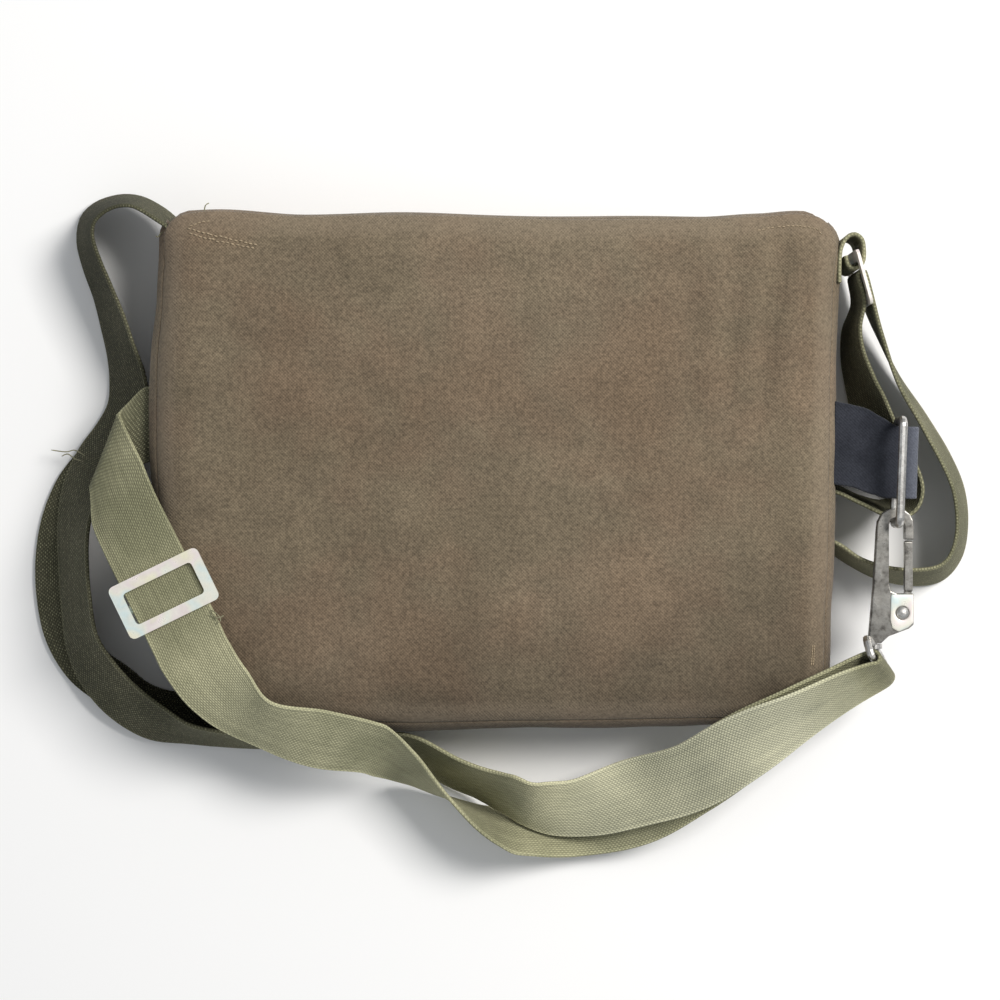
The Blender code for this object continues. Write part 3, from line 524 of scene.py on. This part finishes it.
def ribbon(name, route, material, width=WEBBING, thick=WEBBING_THICK, gap=3.0,
           ripple=0.35, flare=None, fold_wear=None, tone=((0.0, 1.0),)):
    """A strap with rounded selvedges along a route. Returns it, its centre line and length."""
    points, across = ribbon_frames(route, gap)
    shape = bmesh.new()
    uv = shape.loops.layers.uv.new("weave")
    wear = shape.verts.layers.float.new("wear")
    shade = shape.verts.layers.float.new("tone")
    total = sum((b - a).length for a, b in zip(points, points[1:]))
    seed = 0.37 * len(route)
    rings, run = [], 0.0
    for i, (point, wide) in enumerate(zip(points, across)):
        along = (points[min(i + 1, len(points) - 1)] - points[max(i - 1, 0)]).normalized()
        slant = max(wide.cross(along).length, LEAST_SLANT)
        half = 0.5 * (width * (flare(run) if flare else 1.0)) / slant
        up = wide.cross(along).normalized()
        if i:
            run += (point - points[i - 1]).length
        ring = []
        for side in (1, -1):
            section = WEB_SECTION if side == 1 else WEB_SECTION[-2:0:-1]
            for s, t in section:
                lift = ripple * noise.noise(Vector((run / RIPPLE_LENGTH, s * 0.8, seed)))
                spot = point + wide * (half * s) + up * (side * 0.5 * thick * t + lift)
                vertex = shape.verts.new(spot * MM)
                vertex[wear] = fold_wear(run) if fold_wear else 0.0
                # painted light and shade along the strap, from its tone table
                vertex[shade] = lookup(tone, run / total)
                ring.append((vertex, s * 0.5 * width * MM, run * MM))
        rings.append(ring)
    count = len(rings[0])
    for first, second in zip(rings, rings[1:]):
        for k in range(count):
            n = (k + 1) % count
            corners = (first[k], first[n], second[n], second[k])
            face = shape.faces.new([c[0] for c in corners])
            for loop, corner in zip(face.loops, corners):
                loop[uv].uv = corner[1:]
    for ring, turn in ((rings[0], -1), (rings[-1], 1)):
        face = shape.faces.new([c[0] for c in ring[::turn]])
        for loop, corner in zip(face.loops, ring[::turn]):
            loop[uv].uv = corner[1:]
    bmesh.ops.recalc_face_normals(shape, faces=shape.faces)
    piece = mesh_piece(name, shape, material)
    return piece, [tuple(p * MM) for p in points], run * MM


def wrap_points(first, last, width_direction):
    """Stations round the eye's bar. 0 is the return run's side, 180 the front run's side."""
    outward = WRAP_LEAVES.cross(EYE_BAR_DIRECTION).normalized()
    away = EYE_BAR_DIRECTION.cross(outward).normalized()
    stations = []
    for i in range(WRAP_STATIONS):
        angle = math.radians(first + (last - first) * i / (WRAP_STATIONS - 1))
        spot = EYE_BAR_AT + WRAP_RADIUS * (outward * math.cos(angle) - away * math.sin(angle))
        stations.append((*spot, *width_direction))
    return stations


# Stations that carry each strap's sewn ends on into the bag's side
ROOTS = {
    "strap_return": [(-165, 124, 32, 50, -80)],
    "strap_front": [(-174, 25, 38, 270, 0)],
    "side_strap": [(175, -40, 20, 250, -84), (175, -10, 20, 65, -82)],
}

# Painted light and shade along each strap, from its first end: (share of the length, how light it
# is); under 1 is painted shade, over 1 painted light
STRAP_LIGHT_AND_SHADE = {
    "strap_return": [(0.0, 0.34), (0.06, 0.21), (0.2, 0.21), (0.3, 0.26), (0.45, 0.30),
                     (0.53, 0.46), (0.62, 0.8), (0.70, 1.05), (0.78, 1.42), (0.92, 1.52),
                     (0.965, 1.3), (1.0, 0.6)],
    "strap_front": [(0.0, 0.34), (0.03, 0.5), (0.055, 0.74), (0.10, 0.84), (0.22, 0.95),
                    (0.33, 1.12), (0.52, 1.10), (0.6, 0.9), (0.7, 1.1), (0.94, 1.0), (1.0, 0.5)],
    "strap_tail": [(0.0, 0.34), (0.6, 0.32), (0.75, 0.2), (1.0, 0.18)],
    "side_strap": [(0.0, 0.62), (0.25, 0.5), (0.5, 0.48), (0.7, 0.45), (1.0, 0.5)],
    "right_loop": [(0.0, 0.7), (1.0, 0.7)],
}


def make_straps():
    """The long strap's two runs and hanging tail, the side strap, and the right slide's loop."""
    runs = {
        "strap_return": (RETURN_ROUTE + wrap_points(0, 89, RETURN_WIDTH), 3.0),
        "strap_front": (FRONT_ROUTE + wrap_points(180, 91, FRONT_WIDTH), 3.0),
        "side_strap": (SIDE_ROUTE, 2.0),
    }
    for node, (route, gap) in runs.items():
        route = ROOTS[node][:1] + route + ROOTS[node][1:]
        piece, path, length = ribbon(f"{node}_webbing", route, OLIVE, gap=gap,
                                     tone=STRAP_LIGHT_AND_SHADE[node])
        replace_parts(piece, node)
    piece, _, length = ribbon("strap_tail_webbing", TAIL_ROUTE, OLIVE,
                              width=TAIL_WIDTH, tone=STRAP_LIGHT_AND_SHADE["strap_tail"])
    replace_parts(piece, "strap_tail")
    loop = [(x, y, LOOP_Z, 15, -89.5) for x, y in LOOP_ROUTE]
    piece, _, length = ribbon("right_loop_webbing", loop, OLIVE, gap=1.5,
                              ripple=0.1, tone=STRAP_LIGHT_AND_SHADE["right_loop"])
    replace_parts(piece, "right_loop")


def make_tab():
    """The navy tab, folded round the ring's lower leg, wider where it is sewn to the bag."""
    route = [(x - (TAB_SEWN_DEPTH if x < TAB_SEWN_X else 0.0), y, z, 88, 0)
             for x, y, z in TAB_SECTION]
    total = sum((Vector(b[:3]) - Vector(a[:3])).length for a, b in zip(route, route[1:]))
    middle = 0.5 * total
    piece, _, length = ribbon(
        "navy_tab", route, NAVY, thick=TAB_THICK, gap=1.5, ripple=0.25,
        flare=lambda run: 1.0 + TAB_FLARE * step(abs(run - middle), 14.0, middle),
        fold_wear=lambda run: 1.0 - step(abs(run - middle), 2.0, 13.0))
    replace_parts(piece, "tab")


# ======================== bag body
def outline_shift(x, y):
    """How the bag's real outline leaves the plain one, strongest at the edges."""
    right, left = step(x, SHIFT_FROM, SIDE_AT), step(-x, SHIFT_FROM, SIDE_AT)
    top, bottom = step(y, SHIFT_FROM, TOP_AT), step(-y, SHIFT_FROM, BOTTOM_AT)
    dx = right * lookup(RIGHT_EDGE, y) - left * lookup(LEFT_EDGE, y)
    dy = top * lookup(TOP_EDGE, x) - bottom * lookup(BOTTOM_EDGE, x)
    pull = PULL * math.exp(-(((x - PULL_X) / PULL_SIZE) ** 2 + ((y - PULL_Y) / PULL_SIZE) ** 2))
    return dx + pull, dy + pull


def back_relief(x, y):
    """Rise of the back cloth: a slack middle, soft folds, and puckers near the sewn edges."""
    inner = max(0.0, 1 - (x / 170) ** 2) * max(0.0, 1 - (y / 125) ** 2)
    rise = -2.2 * inner
    rise += 1.5 * waver(x, y * 0.8, 3.0, 95.0) + 0.8 * waver(x, y, 9.0, 42.0)
    rise += 0.35 * waver(x, y, 17.0, 18.0)
    # upright folds below the top right corner
    near = step(x, 70, 140) * (1 - step(x, 168, 180)) * step(y, -10, 70)
    rise += 1.1 * near * math.sin((x + 6 * waver(x, y, 1.0, 60.0)) * 2 * math.pi / 21)
    # puckers where the top edge is sewn
    band = step(y, 92, 124)
    rise += 0.55 * band * waver(x * 2.2, y * 0.5, 5.0, 22.0)
    # slanting folds into the lower corners
    low = step(-y, 40, 120) * step(abs(x), 70, 150)
    slope = x + (1 if x > 0 else -1) * 0.9 * y
    rise += 0.8 * low * math.sin(slope * 2 * math.pi / 38 + 2 * waver(x, y, 11.0, 50.0))
    # the strap rests on the lower left corner
    pressed = math.exp(-(((x + 165) / 26) ** 2 + ((y + 92) / 40) ** 2))
    return rise - 2.0 * pressed


def side_relief(x, y, z):
    """In-and-out movement of the side cloth."""
    return 1.4 * waver(x, y, z, 60.0) + 0.7 * waver(x, y, z * 1.6, 26.0)


def perimeter():
    """The core's outline in steps: (x, y, outward x, outward y, index of its grid point)."""
    x0, x1, y0, y1 = CORE
    nx, ny = round((x1 - x0) / CELL), round((y1 - y0) / CELL)
    rows = []

    def place(i, j):
        return x0 + (x1 - x0) * i / nx, y0 + (y1 - y0) * j / ny

    def fan(i, j, start):
        x, y = place(i, j)
        for k in range(CORNER_STEPS + 1):
            angle = math.radians(start + 90 * k / CORNER_STEPS)
            rows.append((x, y, math.cos(angle), math.sin(angle), (i, j)))

    fan(0, 0, 180)
    for i in range(1, nx):
        rows.append((*place(i, 0), 0.0, -1.0, (i, 0)))
    fan(nx, 0, 270)
    for j in range(1, ny):
        rows.append((*place(nx, j), 1.0, 0.0, (nx, j)))
    fan(nx, ny, 0)
    for i in range(nx - 1, 0, -1):
        rows.append((*place(i, ny), 0.0, 1.0, (i, ny)))
    fan(0, ny, 90)
    for j in range(ny - 1, 0, -1):
        rows.append((*place(0, j), -1.0, 0.0, (0, j)))
    return rows, nx, ny, place


RIM, RIM_NX, RIM_NY, RIM_PLACE = perimeter()


def corner_reach(ox, oy, out, top):
    """How far out a rim point goes. The top corners are squarer than the bottom ones."""
    tight = TOP_CORNER if top else BOTTOM_CORNER
    full = 26.0
    wide, narrow = max(abs(ox), abs(oy)), min(abs(ox), abs(oy))
    if narrow < 1e-6:
        return out
    ray = full / wide
    if ray * narrow > full - tight:
        both = (full - tight) * (wide + narrow)
        ray = both + math.sqrt(max(both * both - 2 * (full - tight) ** 2 + tight * tight, 0.0))
    return out * (1 + (ray / full - 1) * out / full)


def edge_wear(height):
    """How worn the back's edge is at that height."""
    return step(height, 48.5, 51.5) * (1 - step(height, 56.5, 59.0))


def cloth_face(profile, middle_z, relief, upward, wear_of, top_reach=0.0):
    """A panel: a grid over the core, and the profile swept round its rim.

    At the top edge the rim goes further out, by the share top_reach.
    """
    shape = bmesh.new()
    wear = shape.verts.layers.float.new("wear")
    grid = {}
    for i in range(RIM_NX + 1):
        for j in range(RIM_NY + 1):
            x, y = RIM_PLACE(i, j)
            dx, dy = outline_shift(x, y)
            z = middle_z + relief(x, y)
            grid[i, j] = shape.verts.new(((x + dx) * MM, (y + dy) * MM, z * MM))
    for i in range(RIM_NX):
        for j in range(RIM_NY):
            corners = [grid[i, j], grid[i + 1, j], grid[i + 1, j + 1], grid[i, j + 1]]
            shape.faces.new(corners if upward else corners[::-1])
    count = len(RIM)
    inner = [grid[row[4]] for row in RIM]
    for out, z in profile:
        outer = []
        for x, y, ox, oy, _ in RIM:
            reach = corner_reach(ox, oy, out, oy > 0) * (1 + top_reach * max(oy, 0.0))
            px, py = x + ox * reach, y + oy * reach
            dx, dy = outline_shift(px, py)
            fade = 1 - step(out, 4.0, profile[-1][0])
            move = SEAM_SHARE * side_relief(px, py, z) * (1 - fade)
            vertex = shape.verts.new(((px + dx + ox * move) * MM, (py + dy + oy * move) * MM,
                                      (z + fade * relief(px, py)) * MM))
            vertex[wear] = wear_of(z)
            outer.append(vertex)
        for k in range(count):
            n = (k + 1) % count
            corners = [inner[k], outer[k], outer[n], inner[n]]
            corners = [v for m, v in enumerate(corners) if v not in corners[:m]]
            shape.faces.new(corners if upward else corners[::-1])
        inner = outer
    return shape


def shell(piece):
    """Gives a single surface the canvas's thickness, inwards."""
    solid = piece.modifiers.new("cloth", "SOLIDIFY")
    solid.thickness = CANVAS * MM
    solid.offset = -1.0
    return apply_modifiers(piece)


def front_relief(x, y):
    """The front's slack: it comes down to the floor below the flap's end."""
    belly = step(-y, 97, 105) * (1 - step(-y, 119, 129)) * (1 - step(abs(x), 112, 124))
    return -4.6 * belly + 0.5 * (1 - belly) * waver(x, y, 31.0, 50.0) * step(-y, 97, 104)


def make_body():
    """The back, the front and the side. Returns the back, which the stitches are laid on."""
    back = mesh_piece("back_cloth", cloth_face(
        BACK_PROFILE, BACK_Z, back_relief, True, edge_wear, BACK_TOP_REACH),
        BROWN)
    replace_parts(shell(back), "back_panel")
    front = mesh_piece("front_cloth", cloth_face(
        FRONT_PROFILE, FRONT_Z, front_relief, False, lambda z: 0.0),
        BROWN)
    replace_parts(shell(front), "front_panel")
    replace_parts(make_side(), "gusset")
    return back


def make_side():
    """The gusset: from the top left corner round the bottom to the top right one."""
    shape = bmesh.new()
    wear = shape.verts.layers.float.new("wear")
    turn = math.radians(50)
    kept = [row for row in RIM if not (row[1] > 106 and row[3] > math.sin(turn) + 1e-6)]
    start = next(k for k, row in enumerate(kept) if row[0] < 0 and row[1] > 106 and k > 5)
    kept = kept[start:] + kept[:start]
    previous = None
    for out, z in GUSSET_PROFILE:
        ring = []
        for x, y, ox, oy, _ in kept:
            reach = corner_reach(ox, oy, out, oy > 0)
            px, py = x + ox * reach, y + oy * reach
            dx, dy = outline_shift(px, py)
            free = step(z, 6.0, 14.0) * (1 - step(z, 44.0, 49.5))
            move = side_relief(px, py, z) * (SEAM_SHARE + (1 - SEAM_SHARE) * free) + 0.9 * free
            vertex = shape.verts.new(((px + dx + ox * move) * MM, (py + dy + oy * move) * MM,
                                      z * MM))
            vertex[wear] = 0.6 * step(z, 46.0, 48.5)
            ring.append(vertex)
        if previous:
            for k in range(len(ring) - 1):
                shape.faces.new((previous[k], ring[k], ring[k + 1], previous[k + 1]))
        previous = ring
    piece = mesh_piece("side_cloth", shape, BROWN)
    return shell(piece)


def flap_row(distance):
    """The point of the flap's section that far along it, as (y, z)."""
    points = [Vector((y, z)) for y, z in FLAP_SECTION]
    for i in range(len(points) - 1):
        length = (points[i + 1] - points[i]).length
        if distance <= length or i == len(points) - 2:
            return smooth(points, i, min(distance / length, 1.0))
        distance -= length


def make_flap():
    """One cloth over the mouth and under the front, with hemmed sides and end."""
    total = sum((Vector(b) - Vector(a)).length for a, b in zip(FLAP_SECTION, FLAP_SECTION[1:]))
    rows = round(total / FLAP_CELL)
    columns = round(2 * FLAP_HALF / FLAP_CELL)
    shape = bmesh.new()
    shape.verts.layers.float.new("wear")
    sides = {}
    for side in (1, -1):
        for r in range(rows + 1):
            run = total * r / rows
            at, after = flap_row(run), flap_row(min(run + 1.0, total))
            before = flap_row(max(run - 1.0, 0.0))
            tangent = (after - before).normalized()
            inward = Vector((tangent.y, -tangent.x))
            if inward.dot(Vector((0.0, 25.0)) - at) < 0:
                inward = -inward
            for c in range(columns + 1):
                half = WALL_HALF + (FLAP_HALF - WALL_HALF) * step(run, 34.0, 60.0)
                x = -half + 2 * half * c / columns
                hem = max(1 - step(half - abs(x), 9.0, 12.0), step(run, total - 13, total - 10))
                thick = 0.5 * FLAP_THICK * (1.0 + FLAP_HEM * hem * (side == 1))
                under = step(run, 30.0, 62.0)
                move = (1 - under) * 0.8 * waver(x, run, 40.0, 55.0) * step(run, 0.0, 10.0)
                spot = at + inward * (side * thick + move)
                y, z = spot.x, spot.y
                y -= FLAP_END_TURN * step(abs(x), WALL_HALF - 9, WALL_HALF) ** 2
                near = math.hypot(abs(x) - SNAP_X, y - SNAP_Y)
                z += (1 - step(near, SNAP_R - 0.5, SNAP_R + 3.0)) * under
                dy = 0.0 if under else outline_shift(x, y)[1]
                sides[side, r, c] = shape.verts.new((x * MM, (y + dy) * MM, max(z, 0.0) * MM))
    for side in (1, -1):
        for r in range(rows):
            for c in range(columns):
                corners = [sides[side, r, c], sides[side, r, c + 1], sides[side, r + 1, c + 1],
                           sides[side, r + 1, c]]
                shape.faces.new(corners if side == 1 else corners[::-1])
    loop = [(0, c) for c in range(columns)] + [(r, columns) for r in range(rows)]
    loop += [(rows, c) for c in range(columns, 0, -1)] + [(r, 0) for r in range(rows, 0, -1)]
    for (r, c), (s, d) in zip(loop, loop[1:] + loop[:1]):
        shape.faces.new((sides[1, r, c], sides[-1, r, c], sides[-1, s, d], sides[1, s, d]))
    bmesh.ops.recalc_face_normals(shape, faces=shape.faces)
    piece = mesh_piece("flap_cloth", shape, BROWN, ride=False)
    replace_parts(piece, "flap")
    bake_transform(piece)


# ======================== stitches and threads
THREAD_SIDES = 6
THREAD_TIP = 0.45  # a thread's end, as a share of its radius
END_RADIUS = 0.32
RAY_FROM = 0.2  # metres above the floor, over everything
# The shape of one stitch: share of its length, and height over the cloth
STITCH = ((-0.5, -0.15), (-0.25, 0.22), (0.0, 0.34), (0.25, 0.22), (0.5, -0.15))
# Rows on the back in plan: path, pitch, stitch length, thread radius, how far they wander
STITCH_ROWS = [
    ([(-161.5, 124.6), (-150, 121.2), (-137, 118.3), (-124, 115.6)], 2.6, 1.9, 0.46, 0.8),
    ([(-160.5, 121.8), (-149, 118.4), (-136, 115.6), (-125, 113.2)], 2.6, 1.9, 0.46, 0.8),
    ([(-160.5, 125.2), (-154, 127.6), (-149, 128.6)], 2.3, 1.9, 0.34, 0.6),
    ([(135.5, 123.2), (146, 125.2), (157, 125.6), (166.5, 124.6), (169.5, 122.4)],
     2.4, 2.0, 0.34, 0.8),
]
STITCH_ROWS += [([(165.2 + offset, -93), (164.4 + offset, -104)], 1.3, 1.5, 0.36, 0.3)
                for offset in (-0.5, 0.5)]
# Loose ends of sewing thread by the body they move with: the corner and the left loop, the slide
LOOSE_ENDS = [
    ("thread_ends", "root", [
        [(-152, 131, 49), (-153, 134.5, 50), (-152.4, 137.2, 50.5), (-150.6, 138.4, 50.2)],
        [(-173, 124, 46), (-176, 123.2, 46.5), (-178, 121.0, 46), (-179.2, 121.8, 45.2)],
        [(-221, 6, 12), (-227.5, 9.6, 11), (-232.5, 8.8, 10.4), (-240.5, 9.8, 11.2)],
        [(-220, 3, 12), (-227, 4.8, 11.4), (-231.5, 7.6, 10), (-235, 6.4, 9.6)],
    ]),
    ("slide_threads", "slide", [
        [(-147.5, -74, 67.6), (-144, -76.5, 68.6), (-142.6, -79.2, 68.0), (-144.4, -81, 67.8)],
        [(-148, -76, 67.6), (-143.6, -78, 68.3), (-141, -76.8, 68.2)],
    ]),
]


def tube(shape, points, radius):
    """A thin thread through the points, closed at both ends."""
    rings = []
    for i, point in enumerate(points):
        along = (points[min(i + 1, len(points) - 1)] - points[max(i - 1, 0)]).normalized()
        side = along.orthogonal().normalized()
        up = along.cross(side)
        size = radius * (THREAD_TIP if i in (0, len(points) - 1) else 1.0)
        turns = [2 * math.pi * k / THREAD_SIDES for k in range(THREAD_SIDES)]
        rings.append([shape.verts.new(point + size * (side * math.cos(a) + up * math.sin(a)))
                      for a in turns])
    for first, second in zip(rings, rings[1:]):
        for k in range(THREAD_SIDES):
            n = (k + 1) % THREAD_SIDES
            shape.faces.new((first[k], first[n], second[n], second[k]))
    shape.faces.new(rings[0][::-1])
    shape.faces.new(rings[-1])


def surface_of(piece):
    graph = bpy.context.evaluated_depsgraph_get()
    return BVHTree.FromObject(piece, graph)


def on_surface(tree, x, y):
    """The surface under that point of the plan, and its normal."""
    return tree.ray_cast(Vector((x * MM, y * MM, RAY_FROM)), Vector((0, 0, -1)))[:2]


def sew(shape, tree, path, pitch, length, radius, wander):
    """Stitches along a path given in plan, each a short thread that dips at its ends."""
    points = [Vector(p) for p in path]
    for a, b in zip(points, points[1:]):
        count = max(1, round((b - a).length / pitch))
        unit = (b - a).normalized()
        for k in range(count):
            middle = a + unit * pitch * (k + 0.5)
            side = Vector((-unit.y, unit.x)) * wander * noise.noise(Vector((middle.x, middle.y, 5)))
            row = []
            for share, lift in STITCH:
                spot = middle + side + unit * length * share
                place, normal = on_surface(tree, spot.x, spot.y)
                if place is None:
                    break
                row.append(place + normal * lift * MM)
            if len(row) == len(STITCH):
                tube(shape, row, radius * MM)


def make_stitches(back):
    tree = surface_of(back)
    shape = bmesh.new()
    for row in STITCH_ROWS:
        sew(shape, tree, *row)
    piece = mesh_piece("tan_stitches", shape, TAN_THREAD)


def make_thread_ends():
    for name, body, paths in LOOSE_ENDS:
        shape = bmesh.new()
        for path in paths:
            points = [Vector(p) * MM for p in path]
            line = [smooth(points, i, k / 5) for i in range(len(points) - 1) for k in range(5)]
            tube(shape, line + [points[-1]], END_RADIUS * MM)
        piece = mesh_piece(name, shape, OLIVE_THREAD, body=body)


# ======================== hardware
HOOK_PLATE = [(206.6, -66.6), (217.9, -66.8), (218.3, -67.4), (218.3, -81.4), (215.6, -83.9),
              (210.5, -86.2), (207.4, -84.6), (206.2, -80.0)]
HOOK_TOP = 50.5
HOOK_PIN = Vector((212.6, -76.3))
HOOK_PLATE_STEPS = 72
# The cheek's section: (inset of the outer edge, rise), then (radius round the pin, rise)
HOOK_RIM = [(0.0, -0.2), (0.0, 0.35), (-0.35, 0.62), (-0.9, 0.7)]
HOOK_HOLE = [(4.3, 0.7), (3.9, 0.62), (3.7, 0.3), (3.7, -0.2)]
BEVEL_ANGLE = 35
BEVELS = {"left_slide": 0.35, "right_slide": 0.35, "hook_body": 0.4, "hook_gate": 0.35}


def make_hook_plate():
    """The pale cheek over the gate's pivot, cut away round the pin's head."""
    shape = bmesh.new()
    corners = [Vector(p) for p in HOOK_PLATE]
    outline = []
    for k in range(HOOK_PLATE_STEPS):
        angle = 2 * math.pi * k / HOOK_PLATE_STEPS
        ray = Vector((math.cos(angle), math.sin(angle)))
        reach = min(r for r in (crossing(HOOK_PIN, ray, a, b)
                                for a, b in zip(corners, corners[1:] + corners[:1])) if r)
        outline.append((ray, reach))
    levels = [[(reach + inset, rise) for _, reach in outline] for inset, rise in HOOK_RIM]
    levels += [[level] * HOOK_PLATE_STEPS for level in HOOK_HOLE]
    rings = [[shape.verts.new(Vector((*(HOOK_PIN + ray * out), HOOK_TOP + rise)) * MM)
              for (ray, _), (out, rise) in zip(outline, level)] for level in levels]
    for inner, outer in zip(rings, rings[1:]):
        for k in range(HOOK_PLATE_STEPS):
            n = (k + 1) % HOOK_PLATE_STEPS
            shape.faces.new((inner[k], inner[n], outer[n], outer[k]))
    bmesh.ops.recalc_face_normals(shape, faces=shape.faces)
    mesh_piece("hook_cheek", shape, ZINC, body="hook")


def crossing(start, ray, a, b):
    """How far along the ray it meets the segment, or None."""
    edge = b - a
    det = ray.x * -edge.y + ray.y * edge.x
    if abs(det) < 1e-9:
        return None
    gap = a - start
    t = (gap.x * -edge.y + gap.y * edge.x) / det
    u = (ray.x * gap.y - ray.y * gap.x) / det
    return t if t > 0 and -1e-6 <= u <= 1 + 1e-6 else None


def finish_hardware():
    """CAD pieces keep their shapes and get their metal and softer edges."""
    for name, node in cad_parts.items():
        if node.hide_render:
            continue
        metal = ZINC if name.endswith("_slide") else STEEL
        if name in ("ring", "swivel_eye", "gate_pin"):
            metal = BRIGHT_STEEL
        node.data.materials.clear()
        node.data.materials.append(metal)
        if name in BEVELS:
            edges = node.modifiers.new("edges", "BEVEL")
            edges.width = BEVELS[name] * MM
            edges.segments = 3
            edges.limit_method = "ANGLE"
            edges.angle_limit = math.radians(BEVEL_ANGLE)
            edges.harden_normals = True


# ======================== stage
def make_stage():
    """The pale floor, the sky, the lamps and the camera."""
    shape = bmesh.new()
    bmesh.ops.create_grid(shape, x_segments=2, y_segments=2, size=FLOOR_SIZE)
    data = bpy.data.meshes.new("floor")
    shape.to_mesh(data)
    shape.free()
    floor = bpy.data.objects.new("floor", data)
    floor.location.z = -FLOOR_DROP
    bpy.context.scene.collection.objects.link(floor)
    data.materials.append(make_floor_material())

    world = bpy.data.worlds.new("studio")
    bpy.context.scene.world = world
    world.use_nodes = True
    world.node_tree.nodes["Background"].inputs["Color"].default_value = SKY
    world.node_tree.nodes["Background"].inputs["Strength"].default_value = SKY_STRENGTH

    for name, place, size, power, colour in LAMPS:
        light = bpy.data.lights.new(name, "AREA")
        light.size = size
        light.energy = power
        light.color = colour
        lamp = bpy.data.objects.new(name, light)
        lamp.location = place
        lamp.rotation_euler = (-Vector(place)).to_track_quat("-Z", "Y").to_euler()
        bpy.context.scene.collection.objects.link(lamp)

    lens = bpy.data.cameras.new("camera")
    lens.lens = LENS
    camera = bpy.data.objects.new("camera", lens)
    camera.location = CAMERA_AT
    bpy.context.scene.collection.objects.link(camera)
    bpy.context.scene.camera = camera
    bpy.context.scene.view_settings.view_transform = "Standard"
    bpy.context.scene.view_settings.look = "None"


# ======================== all together
make_straps()
make_tab()
back_cloth = make_body()
make_flap()
make_stitches(back_cloth)
make_thread_ends()
make_hook_plate()
finish_hardware()
make_stage()
